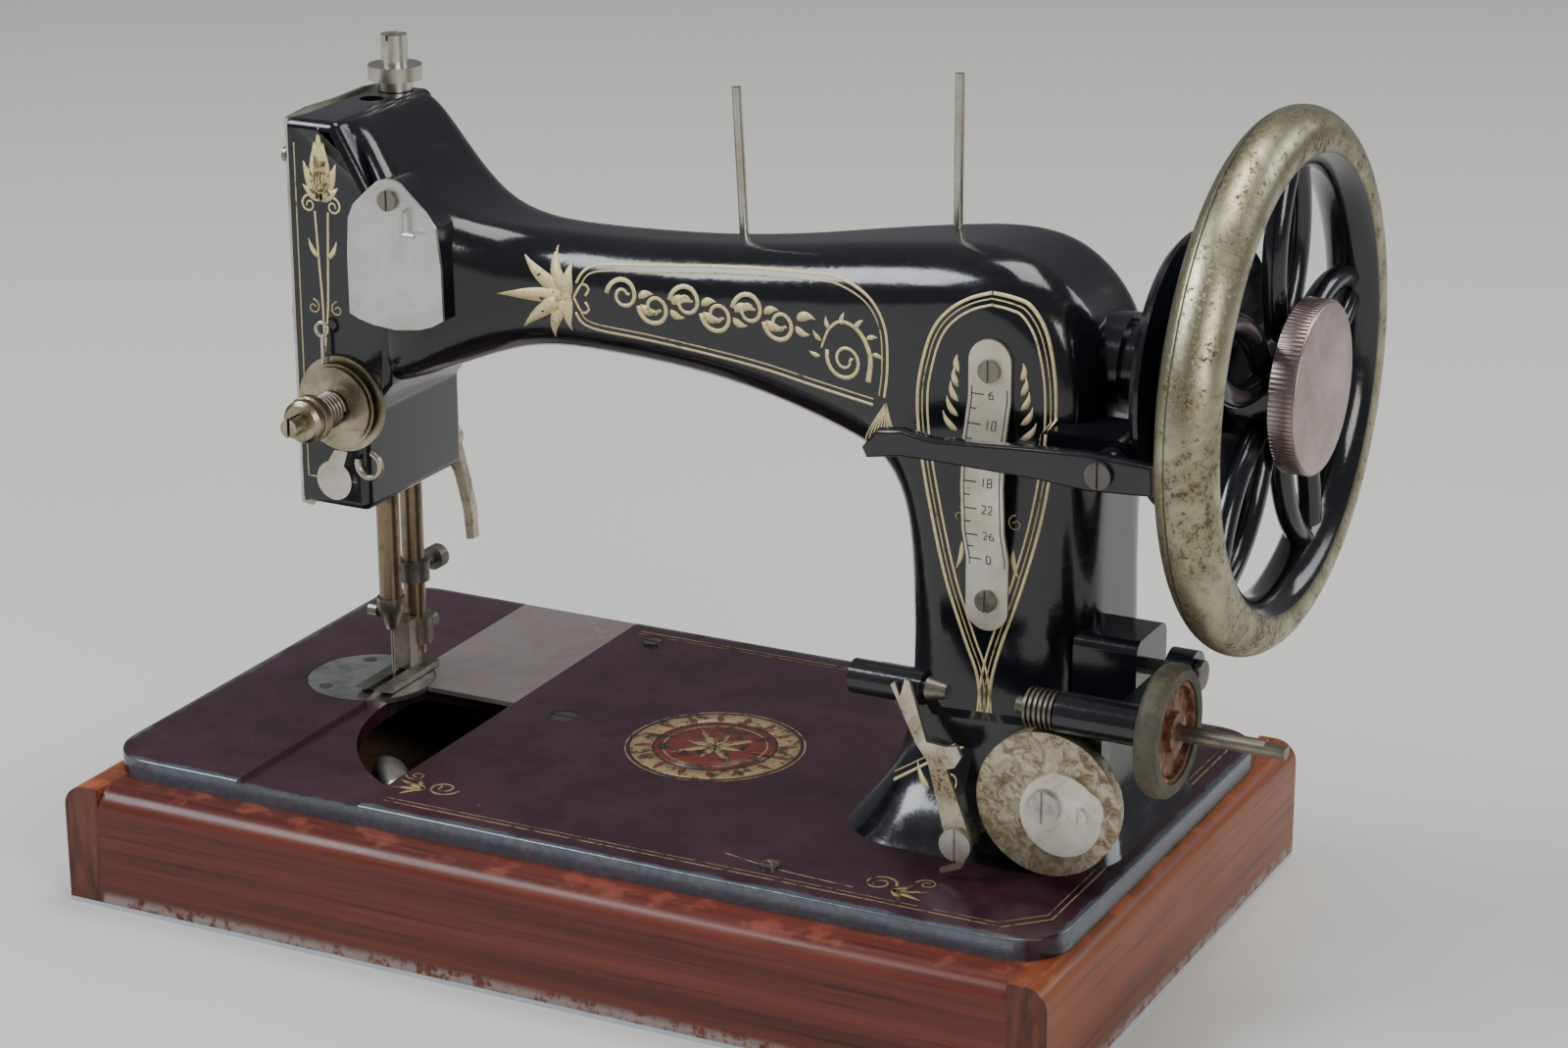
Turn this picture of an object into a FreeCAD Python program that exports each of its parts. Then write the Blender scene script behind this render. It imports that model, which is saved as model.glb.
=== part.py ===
"""Head of a vibrating-shuttle sewing machine on its low wooden base.

Frame: origin at the centre of the base's underside, +X towards the handwheel,
+Y towards the back of the machine, +Z up.  Lengths are in millimetres.
"""
import FreeCAD, Part
import math
import os
import re

import Sketcher

V = FreeCAD.Vector
DOC = FreeCAD.newDocument("sewing_machine")
SHEET = DOC.addObject("Spreadsheet::Sheet", "Sizes")

SIZES = {
    # wooden base and felt
    "base_length": 336.0, "base_width": 205.0, "base_height": 39.9, "felt_thick": 1.6,
    "side_board": 20.0, "end_board": 12.5, "board_round": 7.0, "panel_thick": 4.0,
    "cleat_length": 30.0, "cleat_width": 18.0, "cleat_height": 16.0,
    # bed and the plates let into it
    "bed_length": 326.0, "bed_width": 178.0, "bed_thick": 6.7, "bed_corner": 17.0,
    "plate_thick": 1.6, "slide_width": 44.8, "needle_plate_radius": 21.1, "race_radius": 68.5,
    # shuttle drive and feed under the bed
    "carrier_reach": 65.8, "shuttle_orbit": 57.4, "shuttle_radius": 5.8, "shuttle_length": 32.0,
    "shuttle_turn": 45.0, "rock_radius": 4.0, "rock_drop": 17.0,
    "shuttle_rock_y": 24.0, "feed_rock_y": 42.0,
    # running fits and gaps
    "fit": 0.05, "gap": 0.3,
    # arm, pillar and head
    "needle_from_left": 50.2, "pillar_from_right": 49.3, "shaft_y": 4.7, "shaft_height": 144.0,
    "pillar_width": 60.6, "pillar_depth": 56.0, "foot_width": 88.6, "foot_depth": 99.4,
    "head_above": 52.9, "head_below": 72.1, "head_ahead": 34.7, "head_behind": 22.3,
    "head_wall": 3.4, "cavity_width": 37.0, "cavity_depth": 38.0,
    # shafts, crank and connecting rods
    "shaft_radius": 6.0, "bush_radius": 9.5, "crank_radius": 17.0, "crank_throw": 14.0,
    "needle_bar_radius": 3.75, "presser_bar_radius": 3.75, "presser_behind": 14.3,
    "rod_throw": 4.0, "rod_eccentric": 11.0, "feed_throw": 3.0, "feed_eccentric": 10.0,
    # handwheel, pulley and clutch knob
    "wheel_out": 46.3, "wheel_ring": 70.5, "wheel_section": 9.0, "hub_radius": 16.5,
    "pulley_radius": 41.0, "pulley_groove": 33.0, "knob_radius": 25.4, "knob_thick": 8.6, "knob_bore": 5.6,
    # thread tension
    "tension_drop": 36.6, "tension_base": 15.5, "tension_disc": 12.8, "stud_radius": 3.0,
    # stitch lever and its scale
    "lever_drop": 19.6, "lever_ahead": 45.7, "lever_thick": 4.6, "lever_pivot_out": 11.0,
    "scale_width": 13.4, "scale_length": 89.0, "scale_rise": 10.4, "scale_thick": 1.2,
    # bobbin winder
    "winder_ahead": 56.7, "winder_height": 55.8, "winder_pivot_ahead": 15.7,
    "winder_pivot_height": 57.4, "tyre_radius": 19.5, "tyre_width": 7.0, "worm_radius": 5.8,
    "worm_wheel_radius": 22.3, "guide_height": 11.9,
    # spool pins
    "pin_radius": 1.5, "pin_behind": 7.3, "left_pin_height": 67.4, "right_pin_height": 78.5,
    "left_pin_lean": -3.0,
}

BED_TOP = "(base_height + bed_thick)"
PLATE_FACE = f"({BED_TOP} - plate_thick)"
SHAFT_Z = f"({BED_TOP} + shaft_height)"
NEEDLE_X = "(needle_from_left - bed_length / 2)"
NEEDLE_Y = "shaft_y"
PILLAR_X = "(bed_length / 2 - pillar_from_right)"
RIGHT_FACE = f"({PILLAR_X} + pillar_width / 2)"
PILLAR_FRONT = "(shaft_y - pillar_depth / 2)"
CAVITY_X = f"({PILLAR_X} - cavity_width / 2)"
CAVITY_Y = "(shaft_y - cavity_depth / 2)"
CAVITY_TOP = f"({SHAFT_Z} + 14.4)"
SHUTTLE_ROD_X = f"({PILLAR_X} - 12)"
FEED_ROD_X = f"({PILLAR_X} + 4)"
SLIDE_LEFT = f"({NEEDLE_X} + 1.2)"
PLATE_X = f"({NEEDLE_X} - 9)"
CARRIER = (f"({NEEDLE_X} + carrier_reach)", "(shaft_y - 1.7)")
ROCK_Z = "(base_height - rock_drop)"
HEAD_LEFT = f"({NEEDLE_X} - 8.7)"
HEAD_RIGHT = f"({NEEDLE_X} + 15.8)"
HEAD_FRONT = "(shaft_y - head_ahead)"
HEAD_BACK = "(shaft_y + head_behind)"
HEAD_TOP = f"({SHAFT_Z} + head_above)"
HEAD_BOTTOM = f"({SHAFT_Z} - head_below)"
PRESSER_Y = "(shaft_y + presser_behind)"
WHEEL_X = f"({RIGHT_FACE} + wheel_out)"
TENSION = (f"({NEEDLE_X} + 7.8)", HEAD_FRONT, f"({SHAFT_Z} - tension_drop)")
LEVER_Z = f"({SHAFT_Z} - lever_drop)"
LEVER_FRONT = "(shaft_y - lever_ahead)"
LEVER_X = f"({RIGHT_FACE} + lever_pivot_out)"
WINDER_Y = "(shaft_y - winder_ahead)"
WINDER_Z = f"({BED_TOP} + winder_height)"
SWING_Y = "(shaft_y - winder_pivot_ahead)"
SWING_Z = f"({BED_TOP} + winder_pivot_height)"
TYRE_X = f"({WHEEL_X} - wheel_section - 2.7)"
WORM_X = f"({PILLAR_X} + 25.5)"
GEAR = (f"({PILLAR_X} + 32.8)", WINDER_Y, f"({WINDER_Z} - worm_radius - worm_wheel_radius - gap)")
GUIDE = (f"({PILLAR_X} + 6.8)", f"({BED_TOP} + guide_height)")


def span(share):
    """A place along the arm, as a share of the way from needle to pillar."""
    return f"({NEEDLE_X} + {share} * ({PILLAR_X} - {NEEDLE_X}))"


AIM = {
    "X": FreeCAD.Rotation(V(0, 1, 0), 90),
    "Y": FreeCAD.Rotation(V(1, 0, 0), -90),
    "Z": FreeCAD.Rotation(),
}
WORD = re.compile(r"[a-z][a-z0-9_]*")
PARTS = []
SCREWS = []
PIVOTS = []
GUIDES = []


def fill_sheet():
    """One row per driving size: its word in column A, its number in column B."""
    for row, (word, number) in enumerate(SIZES.items(), start=1):
        SHEET.set(f"A{row}", word)
        SHEET.set(f"B{row}", str(number))
        SHEET.setAlias(f"B{row}", word)
    DOC.recompute()


def cells(formula):
    """Turn the words of a formula into references to the sheet."""
    swap = lambda found: "Sizes." + found.group() if found.group() in SIZES else found.group()
    return WORD.sub(swap, str(formula))


def worth(formula):
    """The number that a formula gives now."""
    return float(SHEET.evalExpression(cells(formula)))


def tie(item, **sizes):
    """Bind each property of an object to its formula."""
    for name, formula in sizes.items():
        item.setExpression(name, cells(formula))
    return item


def settle(item, at, turn=None):
    """Give an object its place, with the position bound to three formulas."""
    item.Placement = FreeCAD.Placement(V(), turn or FreeCAD.Rotation())
    for axis, formula in zip("xyz", at):
        item.setExpression("Placement.Base." + axis, cells(formula))
    return item


def cylinder(name, radius, length, at, along="Z"):
    item = tie(DOC.addObject("Part::Cylinder", name), Radius=radius, Height=length)
    return settle(item, at, AIM[along])


def cone(name, radius, end_radius, length, at, along="Z"):
    item = tie(DOC.addObject("Part::Cone", name), Radius1=radius, Radius2=end_radius, Height=length)
    return settle(item, at, AIM[along])


def block(name, size, at):
    item = tie(DOC.addObject("Part::Box", name), Length=size[0], Width=size[1], Height=size[2])
    return settle(item, at)


def ring(name, radius, section, at, along="Z"):
    item = tie(DOC.addObject("Part::Torus", name), Radius1=radius, Radius2=section)
    return settle(item, at, AIM[along])


def fuse(name, *shapes):
    if len(shapes) == 1:
        return shapes[0]
    item = DOC.addObject("Part::MultiFuse", name)
    item.Shapes = list(shapes)
    item.Refine = True
    return item


def cut(name, base, *tools):
    item = DOC.addObject("Part::Cut", name)
    item.Base = base
    item.Tool = tools[0] if len(tools) == 1 else fuse(name + "_tools", *tools)
    item.Refine = True
    return item


def common(name, first, second):
    item = DOC.addObject("Part::Common", name)
    item.Base, item.Tool = first, second
    return item


def rounded(name, base, radius, wanted):
    """Round the edges of an object that the test picks."""
    DOC.recompute()
    item = DOC.addObject("Part::Fillet", name)
    item.Base = base
    size = worth(radius)
    item.Edges = [(n, size, size) for n, edge in enumerate(base.Shape.Edges, start=1) if wanted(edge)]
    return item


def upright(edge, axis=V(0, 0, 1)):
    """Whether a straight edge runs along an axis."""
    ends = [vertex.Point for vertex in edge.Vertexes]
    if len(ends) != 2 or not isinstance(edge.Curve, Part.Line):
        return False
    return (ends[1] - ends[0]).normalize().cross(axis).Length < 1e-4


def finish(item, label):
    """Name an object as a sub-part of the machine."""
    item.Label = label
    PARTS.append(item)
    return item


def new_sketch(body, plane, name):
    """A sketch on one of the body's own origin planes."""
    sketch = body.newObject("Sketcher::SketchObject", name)
    base = next(f for f in body.Origin.OriginFeatures if f.Role == plane + "_Plane")
    sketch.AttachmentSupport = [(base, "")]
    sketch.MapMode = "FlatFace"
    return sketch


def pin_point(sketch, line, end, label, across, up):
    """Fix one end of a line by its two distances from the sketch's origin."""
    for axis, kind, formula in (("a", "DistanceX", across), ("b", "DistanceY", up)):
        number = sketch.addConstraint(
            Sketcher.Constraint(kind, -1, 1, line, end, worth(formula)))
        sketch.renameConstraint(number, axis + label)
        sketch.setExpression("Constraints." + axis + label, cells(formula))


def polygon(sketch, outline):
    """A closed outline of straight lines through points given as formulas."""
    points = [V(worth(across), worth(up), 0) for across, up in outline]
    for first, second in zip(points, points[1:] + points[:1]):
        sketch.addGeometry(Part.LineSegment(first, second))
    count = len(points)
    for line in range(count):
        sketch.addConstraint(Sketcher.Constraint("Coincident", line, 2, (line + 1) % count, 1))
    for line, (across, up) in enumerate(outline):
        pin_point(sketch, line, 1, str(line), across, up)


def prism(name, plane, outline, start, thick):
    """A padded outline: from start along +X (YZ), +Z (XY) or back to front (XZ)."""
    body = DOC.addObject("PartDesign::Body", name)
    sketch = new_sketch(body, plane, name + "_outline")
    sign = "-" if plane == "XZ" else ""
    sketch.setExpression("AttachmentOffset.Base.z", cells(f"{sign}({start})"))
    polygon(sketch, outline)
    pad = body.newObject("PartDesign::Pad", name + "_pad")
    pad.Profile = sketch
    tie(pad, Length=thick)
    return body


def turned(name, outline, at, along="Z"):
    """A piece turned on a lathe: (radius, height) points about its own axis."""
    body = DOC.addObject("PartDesign::Body", name)
    sketch = new_sketch(body, "XZ", name + "_profile")
    polygon(sketch, outline)
    lathe = body.newObject("PartDesign::Revolution", name + "_turn")
    lathe.Profile = sketch
    lathe.ReferenceAxis = (sketch, ["V_Axis"])
    lathe.Angle = 360
    return settle(body, at, AIM[along])


def section(body, name, inner, outer, front, back, corner):
    """A rounded rectangle on a plane through two points of the arm's side view."""
    sketch = new_sketch(body, "YZ", name)
    run, rise = f"({outer[0]} - ({inner[0]}))", f"({outer[1]} - ({inner[1]}))"
    lean = math.degrees(math.atan2(worth(run), worth(rise)))
    sketch.AttachmentOffset = FreeCAD.Placement(V(), FreeCAD.Rotation(V(1, 0, 0), lean))
    sketch.setExpression("AttachmentOffset.Base.y", cells(inner[1]))
    sketch.setExpression("AttachmentOffset.Base.z", cells(inner[0]))
    tall = f"hypot({run}; {rise})"
    left, right = f"(shaft_y - ({front}))", f"(shaft_y + ({back}))"
    x0, x1, y1, r = worth(left), worth(right), worth(tall), worth(corner)
    corners = [(x0 + r, r, 180), (x1 - r, r, 270), (x1 - r, y1 - r, 0), (x0 + r, y1 - r, 90)]
    lines = [(x0 + r, 0, x1 - r, 0), (x1, r, x1, y1 - r), (x1 - r, y1, x0 + r, y1), (x0, y1 - r, x0, r)]
    for (cx, cy, start), (ax, ay, bx, by) in zip(corners, lines):
        sweep = [math.radians(start), math.radians(start + 90)]
        circle = Part.Circle(V(cx, cy, 0), V(0, 0, 1), r)
        sketch.addGeometry(Part.ArcOfCircle(circle, *sweep))
        sketch.addGeometry(Part.LineSegment(V(ax, ay, 0), V(bx, by, 0)))
    rule = lambda *terms: sketch.addConstraint(Sketcher.Constraint(*terms))
    for side in range(4):
        arc, line, following = 2 * side, 2 * side + 1, (2 * side + 2) % 8
        rule("Tangent", arc, 2, line, 1)
        rule("Tangent", line, 2, following, 1)
        rule("Vertical" if side % 2 else "Horizontal", line)
        if side:
            rule("Equal", 0, arc)
    sized = {
        "radius": (("Radius", 0, r), corner),
        "left": (("DistanceX", -1, 1, 7, 1, x0), left),
        "right": (("DistanceX", -1, 1, 3, 1, x1), right),
        "tall": (("DistanceY", -1, 1, 5, 1, y1), tall),
    }
    for word, (terms, formula) in sized.items():
        sketch.renameConstraint(rule(*terms), word)
        sketch.setExpression("Constraints." + word, cells(formula))
    rule("PointOnObject", 1, 1, -1)
    return sketch


def screw(name, at, along, head_radius, head, radius, length, slot=0.8):
    """A slotted screw whose head starts at its seat and whose shank points back."""
    step = {"X": (1, 0, 0), "Y": (0, 1, 0), "Z": (0, 0, 1)}[along[-1]]
    out = -1 if along[0] == "-" else 1
    push = lambda far: [f"{place} + ({out * way} * ({far}))" for place, way in zip(at, step)]
    low = push(0) if out > 0 else push(head)
    cap = cylinder(name + "_cap", head_radius, head, low, along[-1])
    shank = cylinder(name + "_shank", radius, length, push(f"-({length})") if out > 0 else at, along[-1])
    deep = f"{head} * 0.45"
    size = [deep if way else slot for way in step]
    wide = "2.2 * " + str(head_radius)
    size[{"X": 2, "Y": 2, "Z": 0}[along[-1]]] = wide
    corner = push(f"{head} - {deep}") if out > 0 else push(head)
    centred = [place if way else f"{place} - ({span}) / 2" for place, way, span in zip(corner, step, size)]
    groove = block(name + "_slot", size, centred)
    return cut(name, fuse(name + "_body", cap, shank), groove)


def make_base():
    """Dovetailless box base: two long boards between two end boards, panel, felt and cleats."""
    tall = "base_height - felt_thick"
    along_x, along_y = V(1, 0, 0), V(0, 1, 0)
    top = worth("base_height")
    sides, ends = [], []

    def outer(edge, axis, pick, far):
        middle = edge.CenterOfMass
        return upright(edge, axis) and abs(middle.z - top) < 1e-4 and abs(abs(pick(middle)) - far) < 1e-4

    for name, place in (("base_front_board", "-base_width / 2"),
                        ("base_rear_board", "base_width / 2 - side_board")):
        blank = block(name + "_blank", ("base_length - 2 * end_board", "side_board", tall),
                      ("end_board - base_length / 2", place, "felt_thick"))
        wanted = lambda edge: outer(edge, along_x, lambda p: p.y, worth("base_width / 2"))
        sides.append(rounded(name, blank, "board_round", wanted))
    for name, place in (("base_left_board", "-base_length / 2"),
                        ("base_right_board", "base_length / 2 - end_board")):
        blank = block(name + "_blank", ("end_board", "base_width", tall),
                      (place, "-base_width / 2", "felt_thick"))
        wanted = lambda edge: outer(edge, along_y, lambda p: p.x, worth("base_length / 2"))
        ends.append(rounded(name, blank, "board_round", wanted))
    finish(fuse("base_side_boards", *sides), "base_side_boards")
    finish(fuse("base_end_boards", *ends), "base_end_boards")
    inside = ("base_length - 2 * end_board", "base_width - 2 * side_board", "panel_thick")
    finish(block("base_bottom_panel", inside, ("end_board - base_length / 2",
                 "side_board - base_width / 2", "felt_thick")), "base_bottom_panel")
    finish(block("base_felt", ("base_length", "base_width", "felt_thick"),
                 ("-base_length / 2", "-base_width / 2", "0")), "base_felt")
    cleats, screws, holes = [], [], []
    for number, (x, side) in enumerate(BED_SCREWS):
        y = f"{side} * (base_width / 2 - side_board - cleat_width / 2)"
        seat = (x, y, BED_TOP)
        screws.append(screw(f"bed_screw_{number}", seat, "Z", "3", "0.9", "1.6", "18"))
        holes.append(cylinder(f"bed_screw_hole_{number}", "1.6 + fit", "19",
                              (x, y, f"{BED_TOP} - 18.5"), "Z"))
        cleat = block(f"cleat_{number}", ("cleat_length", "cleat_width", "cleat_height"),
                      (f"{x} - cleat_length / 2", f"{y} - cleat_width / 2",
                       "base_height - cleat_height"))
        cleats.append(cleat)
    drill = fuse("bed_screw_holes", *holes)
    finish(cut("base_cleats", fuse("cleat_blanks", *cleats), drill), "base_cleats")
    SCREWS.extend(screws)
    return drill


BED_SCREWS = ((f"({PILLAR_X} - 46.9)", "-1"), (f"({PILLAR_X} - 46.9)", "1"), (f"({NEEDLE_X} + 60)", "1"))
ARM_BOLTS = [(f"({PILLAR_X} + {side} * (pillar_width / 2 - 4.5))",
              f"(shaft_y + {end} * (pillar_depth / 2 - 5))")
             for side in (-1, 1) for end in (-1, 1)]


def bearing_lugs(name, y, places):
    """Lugs under the bed that carry a rocking shaft, and the bore through them."""
    blocks = [block(f"{name}_{n}", ("8", "16", "rock_drop + 8"), (x, f"{y} - 8", f"{ROCK_Z} - 8"))
              for n, x in enumerate(places)]
    bore = cylinder(name + "_bore", "rock_radius + fit", "bed_length", ("-bed_length / 2", y, ROCK_Z), "X")
    return blocks, bore


def make_bed(screw_holes):
    """Flat iron bed with its plate channel, shuttle race opening and bearing lugs."""
    corner = [block("bed_blank", ("bed_length", "bed_width", "bed_thick"),
                    ("-bed_length / 2", "-bed_width / 2", "base_height"))]
    plate = rounded("bed_rounded", corner[0], "bed_corner", upright)
    top = worth(BED_TOP)
    rim = lambda edge: all(abs(v.Point.z - top) < 1e-4 for v in edge.Vertexes)
    plate = rounded("bed_eased", plate, "0.8", rim)
    shuttle_lugs, shuttle_bore = bearing_lugs("shuttle_lug", "shuttle_rock_y",
                                              (span(0.43), span(0.8)))
    feed_lugs, feed_bore = bearing_lugs("feed_lug", "feed_rock_y", (span(0.07), span(0.9)))
    boss = cylinder("carrier_boss", "9", "12", (*CARRIER, "base_height - 12"))
    iron = fuse("bed_iron", plate, boss, *shuttle_lugs, *feed_lugs)
    channel = block("plate_channel", ("slide_width", "bed_width + 2", "plate_thick + 1"),
                    (SLIDE_LEFT, "-bed_width / 2 - 1", PLATE_FACE))
    seat = cylinder("needle_plate_seat", "needle_plate_radius + gap", "plate_thick + 1",
                    (PLATE_X, "shaft_y", PLATE_FACE))
    race = common("race_opening",
                  cylinder("race_circle", "race_radius", "bed_thick + 2",
                           (f"{CARRIER[0]} + 9", "shaft_y - 12.7", "base_height - 1")),
                  block("race_limit", ("50", "78", "bed_thick + 2"),
                        (f"{SLIDE_LEFT} + slide_width - 52.4", "shaft_y - 72.7", "base_height - 1")))
    feed_hole = block("feed_opening", ("15", "30", "bed_thick + 2"),
                      (f"{NEEDLE_X} - 7.7", "shaft_y - 12.7", "base_height - 1"))
    well = block("pillar_opening", ("cavity_width", "cavity_depth", "bed_thick + 2"),
                 (CAVITY_X, CAVITY_Y, "base_height - 1"))
    bolts = [cylinder(f"bed_bolt_hole_{n}", "2.5 + fit", "bed_thick + 2", (x, y, "base_height - 1"))
             for n, (x, y) in enumerate(ARM_BOLTS)]
    stud = cylinder("carrier_stud_hole", "3 + fit", "30", (*CARRIER, "base_height - 15"))
    counter = cylinder("carrier_stud_seat", "4.5 + fit", "3", (*CARRIER, f"{BED_TOP} - 1.2"))
    plate_holes = [cylinder(f"plate_screw_hole_{n}", "1.2", "5", (x, y, f"{PLATE_FACE} - 4.5"))
                   for n, (x, y) in enumerate(PLATE_SCREWS)]
    bed = cut("bed_plate", iron, channel, seat, race, feed_hole, well, stud, counter, screw_holes,
              shuttle_bore, feed_bore, *bolts, *plate_holes)
    finish(bed, "bed_plate")
    heads = []
    for number, (x, y) in enumerate(ARM_BOLTS):
        shank = cylinder(f"arm_bolt_shank_{number}", "2.5", "18", (x, y, "base_height"))
        head = cylinder(f"arm_bolt_head_{number}", "4.5", "3.4", (x, y, "base_height - 3.4"))
        heads.append(fuse(f"arm_bolt_{number}", shank, head))
    finish(fuse("arm_bolts", *heads), "arm_bolts")


PLATE_SCREWS = [(f"({PLATE_X} - 9)", f"(shaft_y + {side} * 13.5)") for side in (-1, 1)]


def make_plates():
    """Round needle plate with its screws, and the sliding cover plate behind it."""
    disc = cylinder("needle_plate_disc", "needle_plate_radius", "plate_thick",
                    (PLATE_X, "shaft_y", PLATE_FACE))
    hole = cylinder("needle_hole", "1.1", "4", (NEEDLE_X, "shaft_y", f"{PLATE_FACE} - 1"))
    slots = [block(f"feed_slot_{n}", ("1.8", "17", "4"), (f"{NEEDLE_X} - {left}", "shaft_y - 7",
            f"{PLATE_FACE} - 1"))
             for n, left in enumerate(("6.6", "3.9"))]
    sinks = [cylinder(f"plate_screw_sink_{n}", "1.2", "4", (x, y, f"{PLATE_FACE} - 1"))
             for n, (x, y) in enumerate(PLATE_SCREWS)]
    seats = [cylinder(f"plate_screw_seat_{n}", "2.4", "2", (x, y, f"{BED_TOP} - 0.8"))
             for n, (x, y) in enumerate(PLATE_SCREWS)]
    finish(cut("needle_plate", disc, hole, *slots, *sinks, *seats), "needle_plate")
    screws = [screw(f"plate_screw_{n}", (x, y, f"{BED_TOP} - 0.8"), "Z", "2.3", "0.8", "1.1", "4.5")
              for n, (x, y) in enumerate(PLATE_SCREWS)]
    SCREWS.extend(screws)
    blank = block("slide_blank", ("slide_width - 0.4", "bed_width / 2 - shaft_y - 1.7", "plate_thick"),
                  (f"{SLIDE_LEFT} + 0.2", "shaft_y + 0.7", f"{PLATE_FACE} + 0.02"))
    notch = cylinder("slide_notch", "needle_plate_radius + gap", "4",
                     (PLATE_X, "shaft_y", f"{PLATE_FACE} - 1"))
    finish(cut("rear_slide_plate", blank, notch), "rear_slide_plate")


# Side view of the arm from the head to the foot of the pillar: for each section the
# lower or inner point, the upper or outer point, its reach to the front and to the back
# of the shaft, and the radius of its corners.
ARM_SECTIONS = (
    ((span(0.037), f"{SHAFT_Z} - 44.6"), (span(0.037), f"{SHAFT_Z} + 52.4"), "33.9", "21.6", "6"),
    ((span(0.105), f"{SHAFT_Z} - 29.6"), (span(0.105), f"{SHAFT_Z} + 39.4"), "33.6", "21.8", "9"),
    ((span(0.18), f"{SHAFT_Z} - 24.1"), (span(0.18), f"{SHAFT_Z} + 25.9"), "32", "20.3", "12"),
    ((span(0.26), f"{SHAFT_Z} - 18.6"), (span(0.26), f"{SHAFT_Z} + 20.6"), "22", "19.3", "14"),
    ((span(0.383), f"{SHAFT_Z} - 16.9"), (span(0.383), f"{SHAFT_Z} + 20"), "18.7", "18.3", "14"),
    ((span(0.56), f"{SHAFT_Z} - 19.8"), (span(0.56), f"{SHAFT_Z} + 22.2"), "19.7", "19.3", "15"),
    ((span(0.675), f"{SHAFT_Z} - 24.6"), (span(0.675), f"{SHAFT_Z} + 25.3"), "21.7", "21.3", "16"),
    ((span(0.772), f"{SHAFT_Z} - 30.6"), (span(0.763), f"{SHAFT_Z} + 28.4"), "24.2", "24.2", "17"),
    ((f"{PILLAR_X} - 38.7", f"{SHAFT_Z} - 36.6"), (f"{PILLAR_X} - 25.7", f"{SHAFT_Z} + 32.3"),
     "26.7", "26.7", "17"),
    ((f"{PILLAR_X} - 31.7", f"{SHAFT_Z} - 47.6"), (f"{PILLAR_X} + 8.3", f"{SHAFT_Z} + 30.5"),
     "pillar_depth / 2", "pillar_depth / 2", "16"),
    ((f"{PILLAR_X} - 29.9", f"{SHAFT_Z} - 60.6"), (f"{PILLAR_X} + 28.3", f"{SHAFT_Z} + 9.4"),
     "pillar_depth / 2", "pillar_depth / 2", "16"),
    ((f"{PILLAR_X} - 0.487 * pillar_width", f"{BED_TOP} + 0.482 * shaft_height"),
     (RIGHT_FACE, f"{SHAFT_Z} - 32.6"), "pillar_depth / 2", "pillar_depth / 2", "16"),
    ((f"{PILLAR_X} - 0.485 * pillar_width", f"{BED_TOP} + 0.37 * shaft_height"),
     (RIGHT_FACE, f"{BED_TOP} + 0.37 * shaft_height"), "pillar_depth / 2", "pillar_depth / 2", "16"),
    ((f"{PILLAR_X} - 0.5 * pillar_width", f"{BED_TOP} + 0.218 * shaft_height"),
     (f"{RIGHT_FACE} + 0.5", f"{BED_TOP} + 0.218 * shaft_height"),
     "pillar_depth / 2 + 1.2", "pillar_depth / 2 + 1.2", "17"),
    ((f"{PILLAR_X} - 0.5 * pillar_width - 3", f"{BED_TOP} + 0.121 * shaft_height"),
     (f"{RIGHT_FACE} + 3.3", f"{BED_TOP} + 0.121 * shaft_height"),
     "pillar_depth / 2 + 5.4", "pillar_depth / 2 + 5.4", "19"),
    ((f"{PILLAR_X} - 0.5 * foot_width + 5.6", f"{BED_TOP} + 0.051 * shaft_height"),
     (f"{PILLAR_X} + 0.5 * foot_width - 5.6", f"{BED_TOP} + 0.051 * shaft_height"),
     "foot_depth / 2 - 8.5", "foot_depth / 2 - 8.5", "22"),
    ((f"{PILLAR_X} - 0.5 * foot_width", BED_TOP), (f"{PILLAR_X} + 0.5 * foot_width", BED_TOP),
     "foot_depth / 2", "foot_depth / 2", "25"),
)

HEAD_OUTLINE = (
    (HEAD_LEFT, HEAD_BOTTOM), (HEAD_RIGHT, HEAD_BOTTOM), (HEAD_RIGHT, f"{HEAD_BOTTOM} + 31.5"),
    (f"{HEAD_RIGHT} + 9", f"{HEAD_BOTTOM} + 43"), (f"{HEAD_RIGHT} + 12", f"{HEAD_TOP} - 43.5"),
    (f"{HEAD_RIGHT} + 5", f"{HEAD_TOP} - 21.5"), (f"{HEAD_LEFT} + 17", HEAD_TOP), (HEAD_LEFT, HEAD_TOP),
)

COVER_SCREW = (f"{HEAD_RIGHT} + 12.4", f"{SHAFT_Z} + 31.2")
COVER_OUTLINE = [(f"{HEAD_RIGHT} + {across}", f"{SHAFT_Z} + {up}") for across, up in (
    (-3.3, -6.4), (0, -7.9), (5, -9.2), (13.5, -9.9), (22, -8.8), (26.6, -7.3), (30.6, -5), (30.4, 12),
    (28.8, 24), (25.4, 28.6), (19.4, 34), (16.6, 36.7), (14.2, 37.7), (11, 37.7), (8.4, 36.8), (5, 34),
    (-0.6, 28.6), (-2.6, 24), (-3.4, 12))]


def arm_loft():
    """The swept iron skin of arm and pillar, through its rounded sections."""
    body = DOC.addObject("PartDesign::Body", "arm_loft")
    sketches = [section(body, f"arm_section_{n}", *sizes) for n, sizes in enumerate(ARM_SECTIONS)]
    DOC.recompute()
    loft = body.newObject("PartDesign::AdditiveLoft", "arm_skin")
    loft.Profile = sketches[0]
    loft.Sections = sketches[1:]
    loft.Ruled = False
    DOC.recompute()
    return body


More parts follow.
